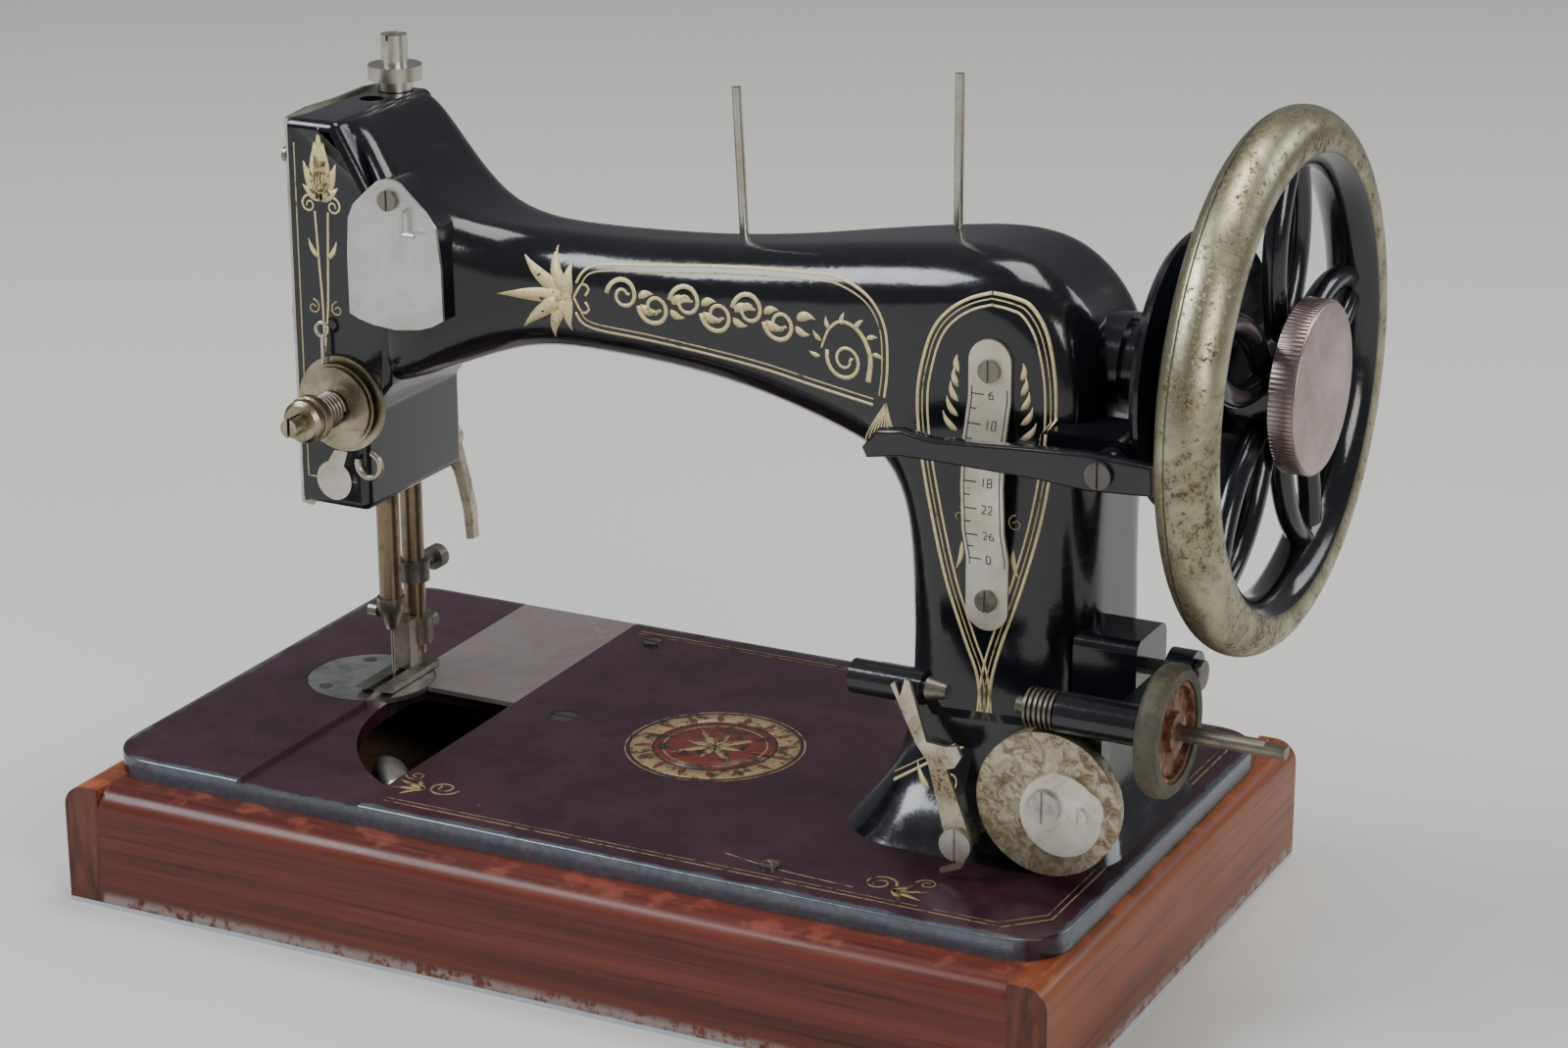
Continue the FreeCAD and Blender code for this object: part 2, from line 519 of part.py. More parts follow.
def make_casting():
    """Arm, pillar and head in one iron casting, bored and hollowed for the works."""
    blank = prism("head_blank", "XZ", HEAD_OUTLINE, HEAD_BACK, "head_ahead + head_behind")
    left = worth(HEAD_LEFT)
    away = lambda edge: edge.CenterOfMass.x > left + 0.1
    head = rounded("head_rounded", blank, "3", away)
    pad = prism("cover_pad", "XZ", COVER_OUTLINE, f"{HEAD_FRONT} + 9", "9")
    boss = block("crank_boss", ("20", "24", "24"), (f"{RIGHT_FACE} - 4", f"{SWING_Y} - 10",
            f"{SWING_Z} - 14"))
    boss = rounded("crank_boss_rounded", boss, "4", lambda edge: upright(edge, V(1, 0, 0)))
    lug = block("lever_lug", ("29", "20", "15"), (f"{RIGHT_FACE} - 13", f"{LEVER_FRONT} + 10.5",
            f"{LEVER_Z} - 7.5"))
    lug = rounded("lever_lug_rounded", lug, "5", lambda edge: upright(edge, V(0, 1, 0)))
    collar = cylinder("arm_collar", "15", "10", (f"{RIGHT_FACE} - 7", "shaft_y", SHAFT_Z), "X")
    iron = fuse("casting_iron", arm_loft(), head, pad, boss, lug, collar)
    shaft_bore = cylinder("shaft_bore", "bush_radius", f"{RIGHT_FACE} - {HEAD_RIGHT} + 12",
                          (f"{HEAD_RIGHT} - 6", "shaft_y", SHAFT_Z), "X")
    head_room = block("head_room", (f"{HEAD_RIGHT} - {HEAD_LEFT} - 3.4",
                                    "head_ahead + head_behind - 2 * head_wall",
                                    "head_above + head_below - 14.5"),
                      (f"{HEAD_LEFT} - 0.6", f"{HEAD_FRONT} + head_wall", f"{HEAD_BOTTOM} + 8"))
    pillar_room = block("pillar_room", ("cavity_width", "cavity_depth", f"{CAVITY_TOP} - {BED_TOP} + 4"),
                        (CAVITY_X, CAVITY_Y, f"{BED_TOP} - 4"))
    rod_room = block("rod_room", ("28.5", "cavity_depth", "30"),
                     (f"{SHUTTLE_ROD_X} - 2.7", CAVITY_Y, f"{SHAFT_Z} - 11"))
    flats = [block("head_flat", ("60", "12", "130"), (f"{HEAD_LEFT} - 1", f"{HEAD_FRONT} - 12",
            f"{HEAD_BOTTOM} - 1")),
             block("scale_flat", ("scale_width + 1", "6", "scale_length + 1"),
                   (f"{PILLAR_X} - scale_width / 2 - 0.5", f"{PILLAR_FRONT} - 6",
                    f"{SHAFT_Z} + scale_rise - scale_length - 0.5")),
             block("rear_flat", ("37", "6", "79"),
                   (f"{PILLAR_X} - 18.5", "shaft_y + pillar_depth / 2", f"{SHAFT_Z} - 75.1"))]
    rear_hole = block("rear_opening", ("30", "20", "62"),
                      (f"{PILLAR_X} - 15", "shaft_y + pillar_depth / 2 - 18", f"{SHAFT_Z} - 66.6"))
    bars = [cylinder("needle_bar_bore", "needle_bar_radius + fit", "head_above + head_below + 20",
                     (NEEDLE_X, NEEDLE_Y, f"{HEAD_BOTTOM} - 10")),
            cylinder("presser_bar_bore", "presser_bar_radius + fit", "30",
                     (NEEDLE_X, PRESSER_Y, f"{HEAD_BOTTOM} - 10")),
            cylinder("pressure_screw_bore", "4.3", "20", (NEEDLE_X, PRESSER_Y, f"{HEAD_TOP} - 10"))]
    pins = [leaning_pin("left_pin_bore", "12"),
            cylinder("right_pin_bore", "pin_radius - 0.5", "12", (span(0.882), PIN_Y, f"{SHAFT_Z} + 21"))]
    bolts = [cylinder(f"arm_bolt_hole_{n}", "2.5", "12", (x, y, f"{BED_TOP} - 0.5"))
             for n, (x, y) in enumerate(ARM_BOLTS)]
    lever_bore = cylinder("lever_bore", "2.5", "16", (LEVER_X, f"{LEVER_FRONT} + 8", LEVER_Z), "Y")
    swing_bore = cylinder("swing_bore", "2.5", "14", (f"{RIGHT_FACE} + 4", SWING_Y, SWING_Z), "X")
    stud_bore = cylinder("stud_bore", "stud_radius", "8", (TENSION[0], f"{HEAD_FRONT} - 1", TENSION[2]),
                         "Y")
    small = [cylinder(f"screw_bore_{n}", radius, deep, place, "Y") for n,
             (radius, deep, place) in enumerate((
        ("1.6", "7", (COVER_SCREW[0], f"{HEAD_FRONT} - 0.5", COVER_SCREW[1])),
        ("1.6", "6", (PILLAR_X, PILLAR_FRONT, SCALE_SCREWS[0])),
        ("1.6", "6", (PILLAR_X, PILLAR_FRONT, SCALE_SCREWS[1]))))]
    lifter_bore = cylinder("lifter_bore", "2", "8", (LIFTER[0], f"{HEAD_BACK} - 6", LIFTER[1]), "Y")
    face = [cylinder(f"face_screw_bore_{n}", "1.4", "6", (f"{HEAD_LEFT} - 1", y, z), "X")
            for n, (y, z) in enumerate(FACE_SCREWS)]
    rear = [cylinder(f"rear_screw_bore_{n}", "1.4", "6", (PILLAR_X, "shaft_y + pillar_depth / 2 - 6", z),
                     "Y")
            for n, z in enumerate(REAR_SCREWS)]
    finish(cut("arm_casting", iron, shaft_bore, head_room, pillar_room, rod_room, rear_hole, lever_bore,
               swing_bore, stud_bore, lifter_bore, *flats, *bars, *pins, *bolts, *small, *face, *rear),
           "arm_casting")


PIN_Y = "(shaft_y + pin_behind)"
SCALE_SCREWS = (f"({SHAFT_Z} - 69.4)", f"({SHAFT_Z} + 1)")
LIFTER = (f"({HEAD_RIGHT} - 6.5)", f"({HEAD_BOTTOM} + 8)")
FACE_SCREWS = ((f"({HEAD_BACK} - 2.5)", f"({HEAD_TOP} - 20)"), (f"({HEAD_BACK} - 2.5)",
        f"({HEAD_BOTTOM} + 20)"),
               (f"({HEAD_FRONT} + 2.5)", f"({HEAD_TOP} - 12)"))
REAR_SCREWS = (f"({SHAFT_Z} - 70.4)", f"({SHAFT_Z} - 0.8)")


def face_outline():
    """Scalloped side view of the face plate: (y, z) points, arcs of shallow scallops."""
    front, back = f"{HEAD_FRONT} + 0.5", f"{HEAD_BACK} - 0.5"
    wide = "(head_ahead + head_behind - 1)"
    low = [(f"{front} + {share} * {wide}", f"{HEAD_BOTTOM} - {drop}")
           for share, drop in ((0, 0), (0.08, 2.5), (0.2, 0.5), (0.35, 1.5), (0.5, 5), (0.65, 1.5),
                               (0.8, 0.5), (0.92, 2.5), (1, 0))]
    high = [(f"{front} + {share} * {wide}", f"{HEAD_TOP} + {rise}")
            for share, rise in ((1, 0), (0.8, 1), (0.5, 0.6), (0.2, 1), (0, 0))]
    return low + high


def leaning_pin(name, length):
    """The left spool pin, or its seat, which leans a little towards the head."""
    lean = FreeCAD.Rotation(V(0, 1, 0), worth("left_pin_lean"))
    pin = tie(DOC.addObject("Part::Cylinder", name), Radius="pin_radius", Height=length)
    return settle(pin, (span(0.5687), PIN_Y, f"{SHAFT_Z} + 12"), lean)


def make_head_trim():
    """Face plate and its screws, pivoting cover plate, thread hook and spool pins."""
    plate = prism("face_plate_blank", "YZ", face_outline(), f"{HEAD_LEFT} - 1.3", "1.3")
    slot = block("take_up_slot", ("4", "9.4", "52"), (f"{HEAD_LEFT} - 3", "shaft_y - 29.4",
            f"{SHAFT_Z} - 20"))
    drills = [cylinder(f"face_screw_hole_{n}", "1.4 + fit", "6", (f"{HEAD_LEFT} - 4", y, z), "X")
              for n, (y, z) in enumerate(FACE_SCREWS)]
    pivot = cylinder("take_up_pivot_hole", "1.8", "6", (f"{HEAD_LEFT} - 4", TAKE_UP[0], TAKE_UP[1]), "X")
    finish(cut("face_plate", plate, slot, pivot, *drills), "face_plate")
    heads = [screw(f"face_screw_{n}", (f"{HEAD_LEFT} - 1.3", y, z), "-X", "2.6", "1.3", "1.4", "6")
             for n, (y, z) in enumerate(FACE_SCREWS)]
    SCREWS.extend(heads)
    cover = prism("cover_blank", "XZ", COVER_OUTLINE, f"{HEAD_FRONT} - gap", "1.2")
    bored = cut("cover_bored", cover, cylinder("cover_hole", "1.6 + fit", "6",
                                               (COVER_SCREW[0], f"{HEAD_FRONT} - 5", COVER_SCREW[1]), "Y"))
    seat = (COVER_SCREW[0], f"{HEAD_FRONT} - gap - 1.2 - fit", COVER_SCREW[1])
    SCREWS.append(screw("cover_screw", seat, "-Y", "3.3", "1.3", "1.6", "7.4 + gap"))
    hook_y = f"{HEAD_FRONT} - gap - 1.2"
    hook = [cylinder("hook_stem", "0.7", "3", (f"{COVER_SCREW[0]} + 6", f"{hook_y} - 3",
            f"{COVER_SCREW[1]} - 2.5"), "Y"),
            cylinder("hook_drop", "0.7", "7.6", (f"{COVER_SCREW[0]} + 6", f"{hook_y} - 2.6",
                    f"{COVER_SCREW[1]} - 9.8")),
            cylinder("hook_tip", "0.7", "5", (f"{COVER_SCREW[0]} + 5.6", f"{hook_y} - 2.6",
                                              f"{COVER_SCREW[1]} - 9.6"), "X")]
    finish(fuse("head_cover_plate", bored, *hook), "head_cover_plate")
    left = leaning_pin("left_spool_pin", "left_pin_height - 12")
    tang = cylinder("right_pin_tang", "pin_radius - 0.5", "12.4", (span(0.882), PIN_Y, f"{SHAFT_Z} + 21"))
    right = cylinder("right_spool_pin", "pin_radius", "right_pin_height - 33.4",
                     (span(0.882), PIN_Y, f"{SHAFT_Z} + 33.4"))
    finish(fuse("spool_pins", left, tang, right), "spool_pins")


TAKE_UP = ("(shaft_y + 13.3)", f"({SHAFT_Z} + 4.4)")


def make_main_shaft():
    """Main shaft, its two bushes, needle crank, eccentrics and their rods."""
    start = f"{HEAD_RIGHT} - 8.5"
    finish(cylinder("main_shaft", "shaft_radius", f"{WHEEL_X} - {HEAD_RIGHT} + 18",
                    (start, "shaft_y", SHAFT_Z), "X"),
           "main_shaft")
    bushes, cams = [], []
    for name, x, long, flange in (("front_bush", f"{HEAD_RIGHT} - 3.4", "16", "0"),
                                  ("rear_bush", f"{RIGHT_FACE} - 10.5", "13.5", "4")):
        outer = [cylinder(name + "_outer", "bush_radius", long, (x, "shaft_y", SHAFT_Z), "X")]
        if flange != "0":
            outer.append(cylinder(name + "_flange", "13", flange, (f"{RIGHT_FACE} + 3", "shaft_y", SHAFT_Z),
                                  "X"))
        bore = cylinder(name + "_bore", "shaft_radius + fit", "40", (f"{x} - 5", "shaft_y", SHAFT_Z), "X")
        bushes.append(cut(name, fuse(name + "_blank", *outer), bore))
    finish(fuse("shaft_bushes", *bushes), "shaft_bushes")
    crank_x = f"{HEAD_RIGHT} - 8.5"
    disc = cylinder("crank_disc", "crank_radius", "4.4", (crank_x, "shaft_y", SHAFT_Z), "X")
    pin = cylinder("crank_pin", "2.5", "3", (f"{crank_x} - 2.9", "shaft_y", f"{SHAFT_Z} - crank_throw"),
                   "X")
    bore = cylinder("crank_bore", "shaft_radius", "8", (f"{crank_x} - 0.02", "shaft_y", SHAFT_Z), "X")
    finish(cut("needle_crank", fuse("crank_blank", disc, pin), bore), "needle_crank")
    finish(drive_rod("needle_link", f"{crank_x} - 2.6", "2.2", "2.5", f"{SHAFT_Z} - crank_throw", "28",
                     "4.6", "2.6"),
           "needle_bar_link")
    for name, x, throw, radius in (("shuttle_eccentric", SHUTTLE_ROD_X, "rod_throw", "rod_eccentric"),
                                   ("feed_eccentric", FEED_ROD_X, "feed_throw", "feed_eccentric")):
        cam = cylinder(name + "_cam", radius, "8", (x, "shaft_y", f"{SHAFT_Z} + {throw}"), "X")
        bore = cylinder(name + "_bore", "shaft_radius", "12", (f"{x} - 2", "shaft_y", SHAFT_Z), "X")
        cams.append(cut(name, cam, bore))
    finish(fuse("shaft_eccentrics", *cams), "shaft_eccentrics")
    finish(drive_rod("shuttle_rod", f"{SHUTTLE_ROD_X} + 1", "6", "rod_eccentric", f"{SHAFT_Z} + rod_throw",
                     f"{SHAFT_Z} + rod_throw - {ROCK_Z}", "rod_eccentric + 2.4", "3"),
           "shuttle_connecting_rod")
    finish(drive_rod("feed_rod", f"{FEED_ROD_X} + 1", "6", "feed_eccentric", f"{SHAFT_Z} + feed_throw",
                     f"{SHAFT_Z} + feed_throw - {ROCK_Z}", "feed_eccentric + 2.4", "3"),
           "feed_connecting_rod")


def drive_rod(name, x, thick, bore, top, drop, outer, eye):
    """A connecting rod that hangs from a pin or eccentric, with an open lower eye."""
    low = f"({top} - ({drop}))"
    solid = [cylinder(name + "_big_end", outer, thick, (x, "shaft_y", top), "X"),
             block(name + "_shank", (thick, "7", drop), (x, "shaft_y - 3.5", low)),
             cylinder(name + "_small_end", f"{eye} + 2", thick, (x, "shaft_y", low), "X")]
    holes = [cylinder(name + "_big_bore", f"{bore} + fit", f"{thick} + 4", (f"{x} - 2", "shaft_y", top),
                      "X"),
             cylinder(name + "_small_bore", eye, f"{thick} + 4", (f"{x} - 2", "shaft_y", low), "X")]
    return cut(name, fuse(name + "_blank", *solid), *holes)


def make_under_bed():
    """Rocking shafts, shuttle carrier with shuttle and bobbin, feed bar with its teeth."""
    long = f"{SHUTTLE_ROD_X} - {span(0.4)} + 6.6"
    shaft = cylinder("shuttle_rock_bar", "rock_radius", long, (span(0.4), "shuttle_rock_y", ROCK_Z), "X")
    arm = block("shuttle_rock_arm", ("5", "shuttle_rock_y - shaft_y", "6"),
                (f"{SHUTTLE_ROD_X} - 4.6", "shaft_y", f"{ROCK_Z} - 3"))
    eye = cylinder("shuttle_rock_eye", "5", "5", (f"{SHUTTLE_ROD_X} - 4.6", "shaft_y", ROCK_Z), "X")
    fork = block("shuttle_rock_fork", ("6", "7", "13"), (span(0.4), "shuttle_rock_y - 3.5",
            f"{ROCK_Z} - 13"))
    finish(fuse("shuttle_rock_shaft", shaft, arm, eye, fork), "shuttle_rock_shaft")
    long = f"{FEED_ROD_X} - {span(0.0)} + 1.4"
    shaft = cylinder("feed_rock_bar", "rock_radius", long, (f"{NEEDLE_X} - 3", "feed_rock_y", ROCK_Z), "X")
    arm = block("feed_rock_arm", ("5", "feed_rock_y - shaft_y", "6"), (f"{FEED_ROD_X} - 4.6", "shaft_y",
            f"{ROCK_Z} - 3"))
    eye = cylinder("feed_rock_eye", "5", "5", (f"{FEED_ROD_X} - 4.6", "shaft_y", ROCK_Z), "X")
    crank = block("feed_rock_crank", ("5", "6", "12"), (f"{NEEDLE_X} - 3", "feed_rock_y - 3", ROCK_Z))
    finish(fuse("feed_rock_shaft", shaft, arm, eye, crank), "feed_rock_shaft")
    dog_x = f"{NEEDLE_X} - 6.4"
    bar = block("feed_bar_body", ("5", "feed_rock_y - shaft_y + 0.5", "5"),
                (f"{dog_x} - 0.6", "shaft_y - 4", "base_height - 6.2"))
    finish(bar, "feed_bar")
    plinth = block("feed_dog_plinth", ("4.2", "13", f"{BED_TOP} - base_height - 0.4"),
                   (f"{dog_x} - 0.2", "shaft_y - 4", "base_height - 1.2"))
    rows = [block(f"feed_tooth_row_{n}", ("1", "13", "1.4"), (f"{NEEDLE_X} - {left}", "shaft_y - 4",
            f"{BED_TOP} - 1.7"))
            for n, left in enumerate(("6.2", "3.5"))]
    low = block("feed_dog_step", ("6", "20", "3"), (f"{dog_x} - 1", "shaft_y - 8",
            f"{BED_TOP} - plate_thick - 0.3"))
    finish(fuse("feed_dog_blank", cut("feed_dog_base", plinth, low), *rows), "feed_dog")
    stud = fuse("carrier_stud_blank", cylinder("carrier_stud", "3", "bed_thick + 15.8",
            (*CARRIER, "base_height - 17")),
                cylinder("carrier_stud_head", "4.5", "1", (*CARRIER, f"{BED_TOP} - 1.2")),
                cylinder("carrier_stud_foot", "5", "2", (*CARRIER, "base_height - 19")))
    slot = block("carrier_stud_slot", ("10", "0.8", "1"), (f"{CARRIER[0]} - 5", f"{CARRIER[1]} - 0.4",
            f"{BED_TOP} - 0.7"))
    PIVOTS.append(cut("carrier_pivot", stud, slot))


def orbit(turn, radius):
    """A place on the shuttle's orbit, at an angle from the carrier's pivot."""
    return (f"({CARRIER[0]} + ({radius}) * cos({turn}))", f"({CARRIER[1]} + ({radius}) * sin({turn}))")


def make_shuttle():
    """Carrier arm, the boat-shaped shuttle that lies in it and its long bobbin."""
    rest = worth("180 + shuttle_turn")
    turn = FreeCAD.Rotation(V(0, 0, 1), rest)
    low = "base_height - 16.6"
    hub = cylinder("carrier_hub", "8", "4", (*CARRIER, low))
    bore = cylinder("carrier_hub_bore", "3 + fit", "8", (*CARRIER, "base_height - 20"))
    arm = tie(DOC.addObject("Part::Box", "carrier_arm"), Length="shuttle_orbit + 5", Width="10", Height="3")
    settle(arm, (*[f"{CARRIER[0]} + 5 * sin({rest})", f"{CARRIER[1]} - 5 * cos({rest})"], low), turn)
    cradle = tie(DOC.addObject("Part::Box", "carrier_cradle"), Length="9", Width="shuttle_length * 0.7",
                 Height="3")
    x, y = orbit(rest, "shuttle_orbit - 4.5")
    settle(cradle, (f"{x} + shuttle_length * 0.35 * sin({rest})",
                    f"{y} - shuttle_length * 0.35 * cos({rest})", low), turn)
    finish(cut("shuttle_carrier", fuse("carrier_blank", hub, arm, cradle), bore), "shuttle_carrier")
    profile = (("0", "-shuttle_length / 2"), ("shuttle_radius - 1.2", "-shuttle_length / 2 + 1.2"),
               ("shuttle_radius", "-shuttle_length / 2 + 4"), ("shuttle_radius", "shuttle_length * 0.12"),
               ("shuttle_radius - 1.6", "shuttle_length * 0.32"), ("0", "shuttle_length / 2"))
    x, y = orbit(rest, "shuttle_orbit")
    place = (x, y, f"{low} + 3 + shuttle_radius")
    shell = turned("shuttle_blank", profile, place)
    aim = FreeCAD.Rotation(V(0, 0, 1), rest).multiply(FreeCAD.Rotation(V(1, 0, 0), 90))
    settle(shell, place, aim)
    room = cylinder("shuttle_room", "shuttle_radius - 1.6", "shuttle_length * 0.56", place)
    settle(room, (f"{x} - shuttle_length * 0.4 * sin({rest})", f"{y} + shuttle_length * 0.4 * cos({rest})",
                  place[2]), aim)
    finish(cut("shuttle", shell, room), "shuttle")
    core = (("0", "0"), ("3.6", "0"), ("3.6", "1"), ("1", "1"), ("1", "16"), ("3.6", "16"), ("3.6", "17"),
            ("0", "17"))
    bobbin = turned("bobbin", core, place)
    settle(bobbin, (f"{x} - shuttle_length * 0.39 * sin({rest})",
                    f"{y} + shuttle_length * 0.39 * cos({rest})", place[2]), aim)
    finish(bobbin, "bobbin")


def make_bars():
    """Needle bar and presser bar with all they carry, and the pressure screw."""
    x, z = NEEDLE_X, BED_TOP
    bar = cylinder("needle_bar_round", "needle_bar_radius", f"{HEAD_TOP} - {z} - 31",
                   (x, NEEDLE_Y, f"{z} + 28"))
    clamp = turned("needle_clamp_blank", (("0", "0"), ("2.2", "0"), ("needle_bar_radius + 0.9", "7"),
                                          ("needle_bar_radius + 0.9", "11"), ("0", "11")), (x, NEEDLE_Y,
                                                  f"{z} + 19"))
    sink = cylinder("needle_clamp_sink", "needle_bar_radius", "6", (x, NEEDLE_Y, f"{z} + 28"))
    eye = cylinder("needle_clamp_eye", "0.9", "12", (x, NEEDLE_Y, f"{z} + 17"))
    bite = cylinder("needle_clamp_bore", "1.2", "6", (f"{x} - needle_bar_radius - 1.4", NEEDLE_Y,
            f"{z} + 24.5"), "X")
    finish(cut("needle_clamp", clamp, sink, eye, bite), "needle_clamp")
    grip = screw("clamp_screw", (f"{x} - needle_bar_radius - 0.9", NEEDLE_Y, f"{z} + 24.5"), "-X", "2.4",
                 "3.4", "1.2", "3.2")
    finish(grip, "needle_clamp_screw")
    needle = turned("needle", (("0", "0"), ("0.55", "5"), ("0.55", "29"), ("0.85", "31"), ("0.85", "37"),
                               ("0", "37")),
                    (x, NEEDLE_Y, f"{z} - 9"))
    finish(needle, "needle")
    finish(fuse("needle_bar", bar, cylinder("needle_collar_ring", "needle_bar_radius + 0.6", "9",
            (x, NEEDLE_Y, f"{SHAFT_Z} - 44.6")),
                  block("needle_collar_lug", ("7", "3.6", "9"),
                        (f"{x} - 3.5", f"{NEEDLE_Y} - needle_bar_radius - 3",
                         f"{SHAFT_Z} - 44.6"))), "needle_bar")
    bar = (cylinder("presser_bar_low", "presser_bar_radius", f"{SHAFT_Z} - {z} - 9",
                    (x, PRESSER_Y, f"{z} + 6")),
               cylinder("presser_bar_high", "2.2", "38", (x, PRESSER_Y, f"{SHAFT_Z} - 3")))
    guide = (cylinder("presser_guide_ring", "presser_bar_radius + 0.5", "10",
                      (x, PRESSER_Y, f"{HEAD_BOTTOM} + 14")),
                 block("presser_guide_lug", ("10.4", "5", "5"), (f"{x} - 0.4", f"{PRESSER_Y} - 2.5",
                         f"{HEAD_BOTTOM} + 14")))
    finish(fuse("presser_bar", *bar, *guide), "presser_bar")
    spring = coil("presser_spring", 3.3, 0.55, worth("head_above - 8.7"), 12)
    settle(spring, (x, PRESSER_Y, f"{SHAFT_Z} - 2.4"))
    finish(spring, "presser_spring")
    stem = cylinder("pressure_stem", "4.25", "28.5", (x, PRESSER_Y, f"{HEAD_TOP} - 10.5"))
    neck = cylinder("pressure_neck", "5.6", "3.4", (x, PRESSER_Y, f"{HEAD_TOP} + 0.3"))
    knurl = cylinder("pressure_knurl", "8.7", "4.6", (x, PRESSER_Y, f"{HEAD_TOP} + 3.7"))
    bore = cylinder("pressure_bore", "2.5", "20", (x, PRESSER_Y, f"{HEAD_TOP} - 11"))
    slot = block("pressure_slot", ("1", "12", "2"), (f"{x} - 0.5", f"{PRESSER_Y} - 6",
            f"{HEAD_TOP} + 16.4"))
    finish(cut("pressure_screw", fuse("pressure_blank", stem, neck, knurl), bore, slot), "pressure_screw")


def coil(name, radius, wire, tall, turns):
    """A wire spring about its own Z axis."""
    path = Part.makeHelix(tall / turns, tall, radius)
    profile = Part.Wire(Part.makeCircle(wire, V(radius, 0, 0), V(0, 1, 0)))
    item = DOC.addObject("Part::Feature", name)
    item.Shape = Part.Wire(path).makePipeShell([profile], True, True)
    return item


def make_foot():
    """Presser foot with its thumb screw, and the lever that lifts the bar."""
    x, z = NEEDLE_X, BED_TOP
    shank = block("foot_shank", ("7", "5", "16"), (f"{x} - 3.5", f"{PRESSER_Y} - 9.3", f"{z} + 4"))
    clasp = cylinder("foot_clasp", "presser_bar_radius + 2.2", "9", (x, PRESSER_Y, f"{z} + 10"))
    sole = block("foot_sole", ("12", "34", "2"), (f"{x} - 6", "shaft_y - 15", f"{z} + gap"))
    ankle = block("foot_ankle", ("7", "7", "8"), (f"{x} - 3.5", f"{PRESSER_Y} - 9.3", f"{z} + gap"))
    gate = block("foot_gate", ("2.6", "24", "3"), (f"{x} - 1.3", "shaft_y - 16", z))
    toe = prism("foot_toe_cut", "YZ", (("shaft_y - 16", f"{z} - 1"), ("shaft_y - 7", f"{z} - 1"),
            ("shaft_y - 16", f"{z} + 2.6")),
                f"{x} - 8", "16")
    bore = cylinder("foot_bore", "presser_bar_radius", "20", (x, PRESSER_Y, f"{z} + 6"))
    clear = cylinder("foot_needle_room", "3.4", "10", (x, NEEDLE_Y, f"{z} + 8"))
    foot = fuse("foot_blank", shank, clasp, sole, ankle)
    bite = cylinder("foot_screw_bore", "1.3", "6", (x, f"{PRESSER_Y} + presser_bar_radius - 2",
            f"{z} + 14.5"), "Y")
    finish(cut("presser_foot", foot, gate, toe, bore, clear, bite), "presser_foot")
    seat = (x, f"{PRESSER_Y} + presser_bar_radius + 2.2", f"{z} + 14.5")
    foot_screw = screw("foot_screw", seat, "Y", "3.2", "4", "1.3", "2")
    stem_z = f"{z} + 35"
    ring_part = cylinder("bar_band", "presser_bar_radius + 1.6", "7", (x, PRESSER_Y, f"{stem_z} - 3.5"))
    stalk = cylinder("bar_band_stalk", "1.7", "9", (x, f"{PRESSER_Y} + 3.8", stem_z), "Y")
    bore = cylinder("bar_band_bore", "presser_bar_radius", "12", (x, PRESSER_Y, f"{stem_z} - 6"))
    knob = cylinder("bar_knob", "4", "4.4", (x, f"{PRESSER_Y} + 11.6", stem_z), "Y")
    band = cut("thread_cutter_band", fuse("bar_band_blank", ring_part, stalk, knob), bore)
    finish(fuse("presser_bar_knobs", foot_screw, band), "presser_bar_knobs")
    lx, lz = LIFTER
    hub = cylinder("lifter_hub", "4.6", "3.4", (lx, f"{HEAD_BACK} + 0.3", lz), "Y")
    blade = prism("lifter_blade", "XZ", ((f"{lx} - 3", f"{lz} - 1"), (f"{lx} + 3", f"{lz} + 1"),
            (f"{lx} + 6.4", f"{lz} - 12"),
                  (f"{lx} + 9", f"{lz} - 24"), (f"{lx} + 9.4", f"{lz} - 34"), (f"{lx} + 6.6",
                          f"{lz} - 34.6"),
                  (f"{lx} + 5.6", f"{lz} - 24"), (f"{lx} + 2.6",
                                                  f"{lz} - 12")), f"{HEAD_BACK} + 3.7", "3.4")
    bore = cylinder("lifter_hub_bore", "2 + fit", "12", (lx, HEAD_BACK, lz), "Y")
    finish(cut("presser_lifter", fuse("lifter_blank", hub, blade), bore), "presser_lifter")
    PIVOTS.append(screw("lifter_pin", (lx, f"{HEAD_BACK} + 3.9", lz), "Y", "3.4", "1.4", "2", "9"))


def make_take_up():
    """Take-up lever on its stud, with the thread eye outside the face plate."""
    y, z = TAKE_UP
    x = f"{HEAD_LEFT} + 0.9"
    tip = ("shaft_y - 24", f"{SHAFT_Z} - 10.6")
    hub = cylinder("take_up_hub", "4", "2.4", (x, y, z), "X")
    arm = prism("take_up_arm", "YZ", ((y, f"{z} - 3"), (y, f"{z} + 3"), (tip[0], f"{tip[1]} + 1.7"),
                                      (tip[0], f"{tip[1]} - 1.7")),
                x, "2.4")
    rod = cylinder("take_up_rod", "1.6", "8", (f"{x} - 6", tip[0], tip[1]), "X")
    eye = ring("take_up_eye", "3.1", "0.9", (f"{x} - 6.4", tip[0], f"{tip[1]} - 1"), "X")
    bore = cylinder("take_up_bore", "1.8 + fit", "10", (f"{x} - 4", y, z), "X")
    finish(cut("take_up_lever", fuse("take_up_blank", hub, arm, rod, eye), bore), "take_up_lever")
    pivot = fuse("take_up_pivot", cylinder("take_up_stud", "1.8", "5.8", (f"{HEAD_LEFT} - 2.3", y, z), "X"),
                 cylinder("take_up_stud_head", "3", "1", (f"{HEAD_LEFT} - 2.3", y, z), "X"))
    PIVOTS.append(pivot)


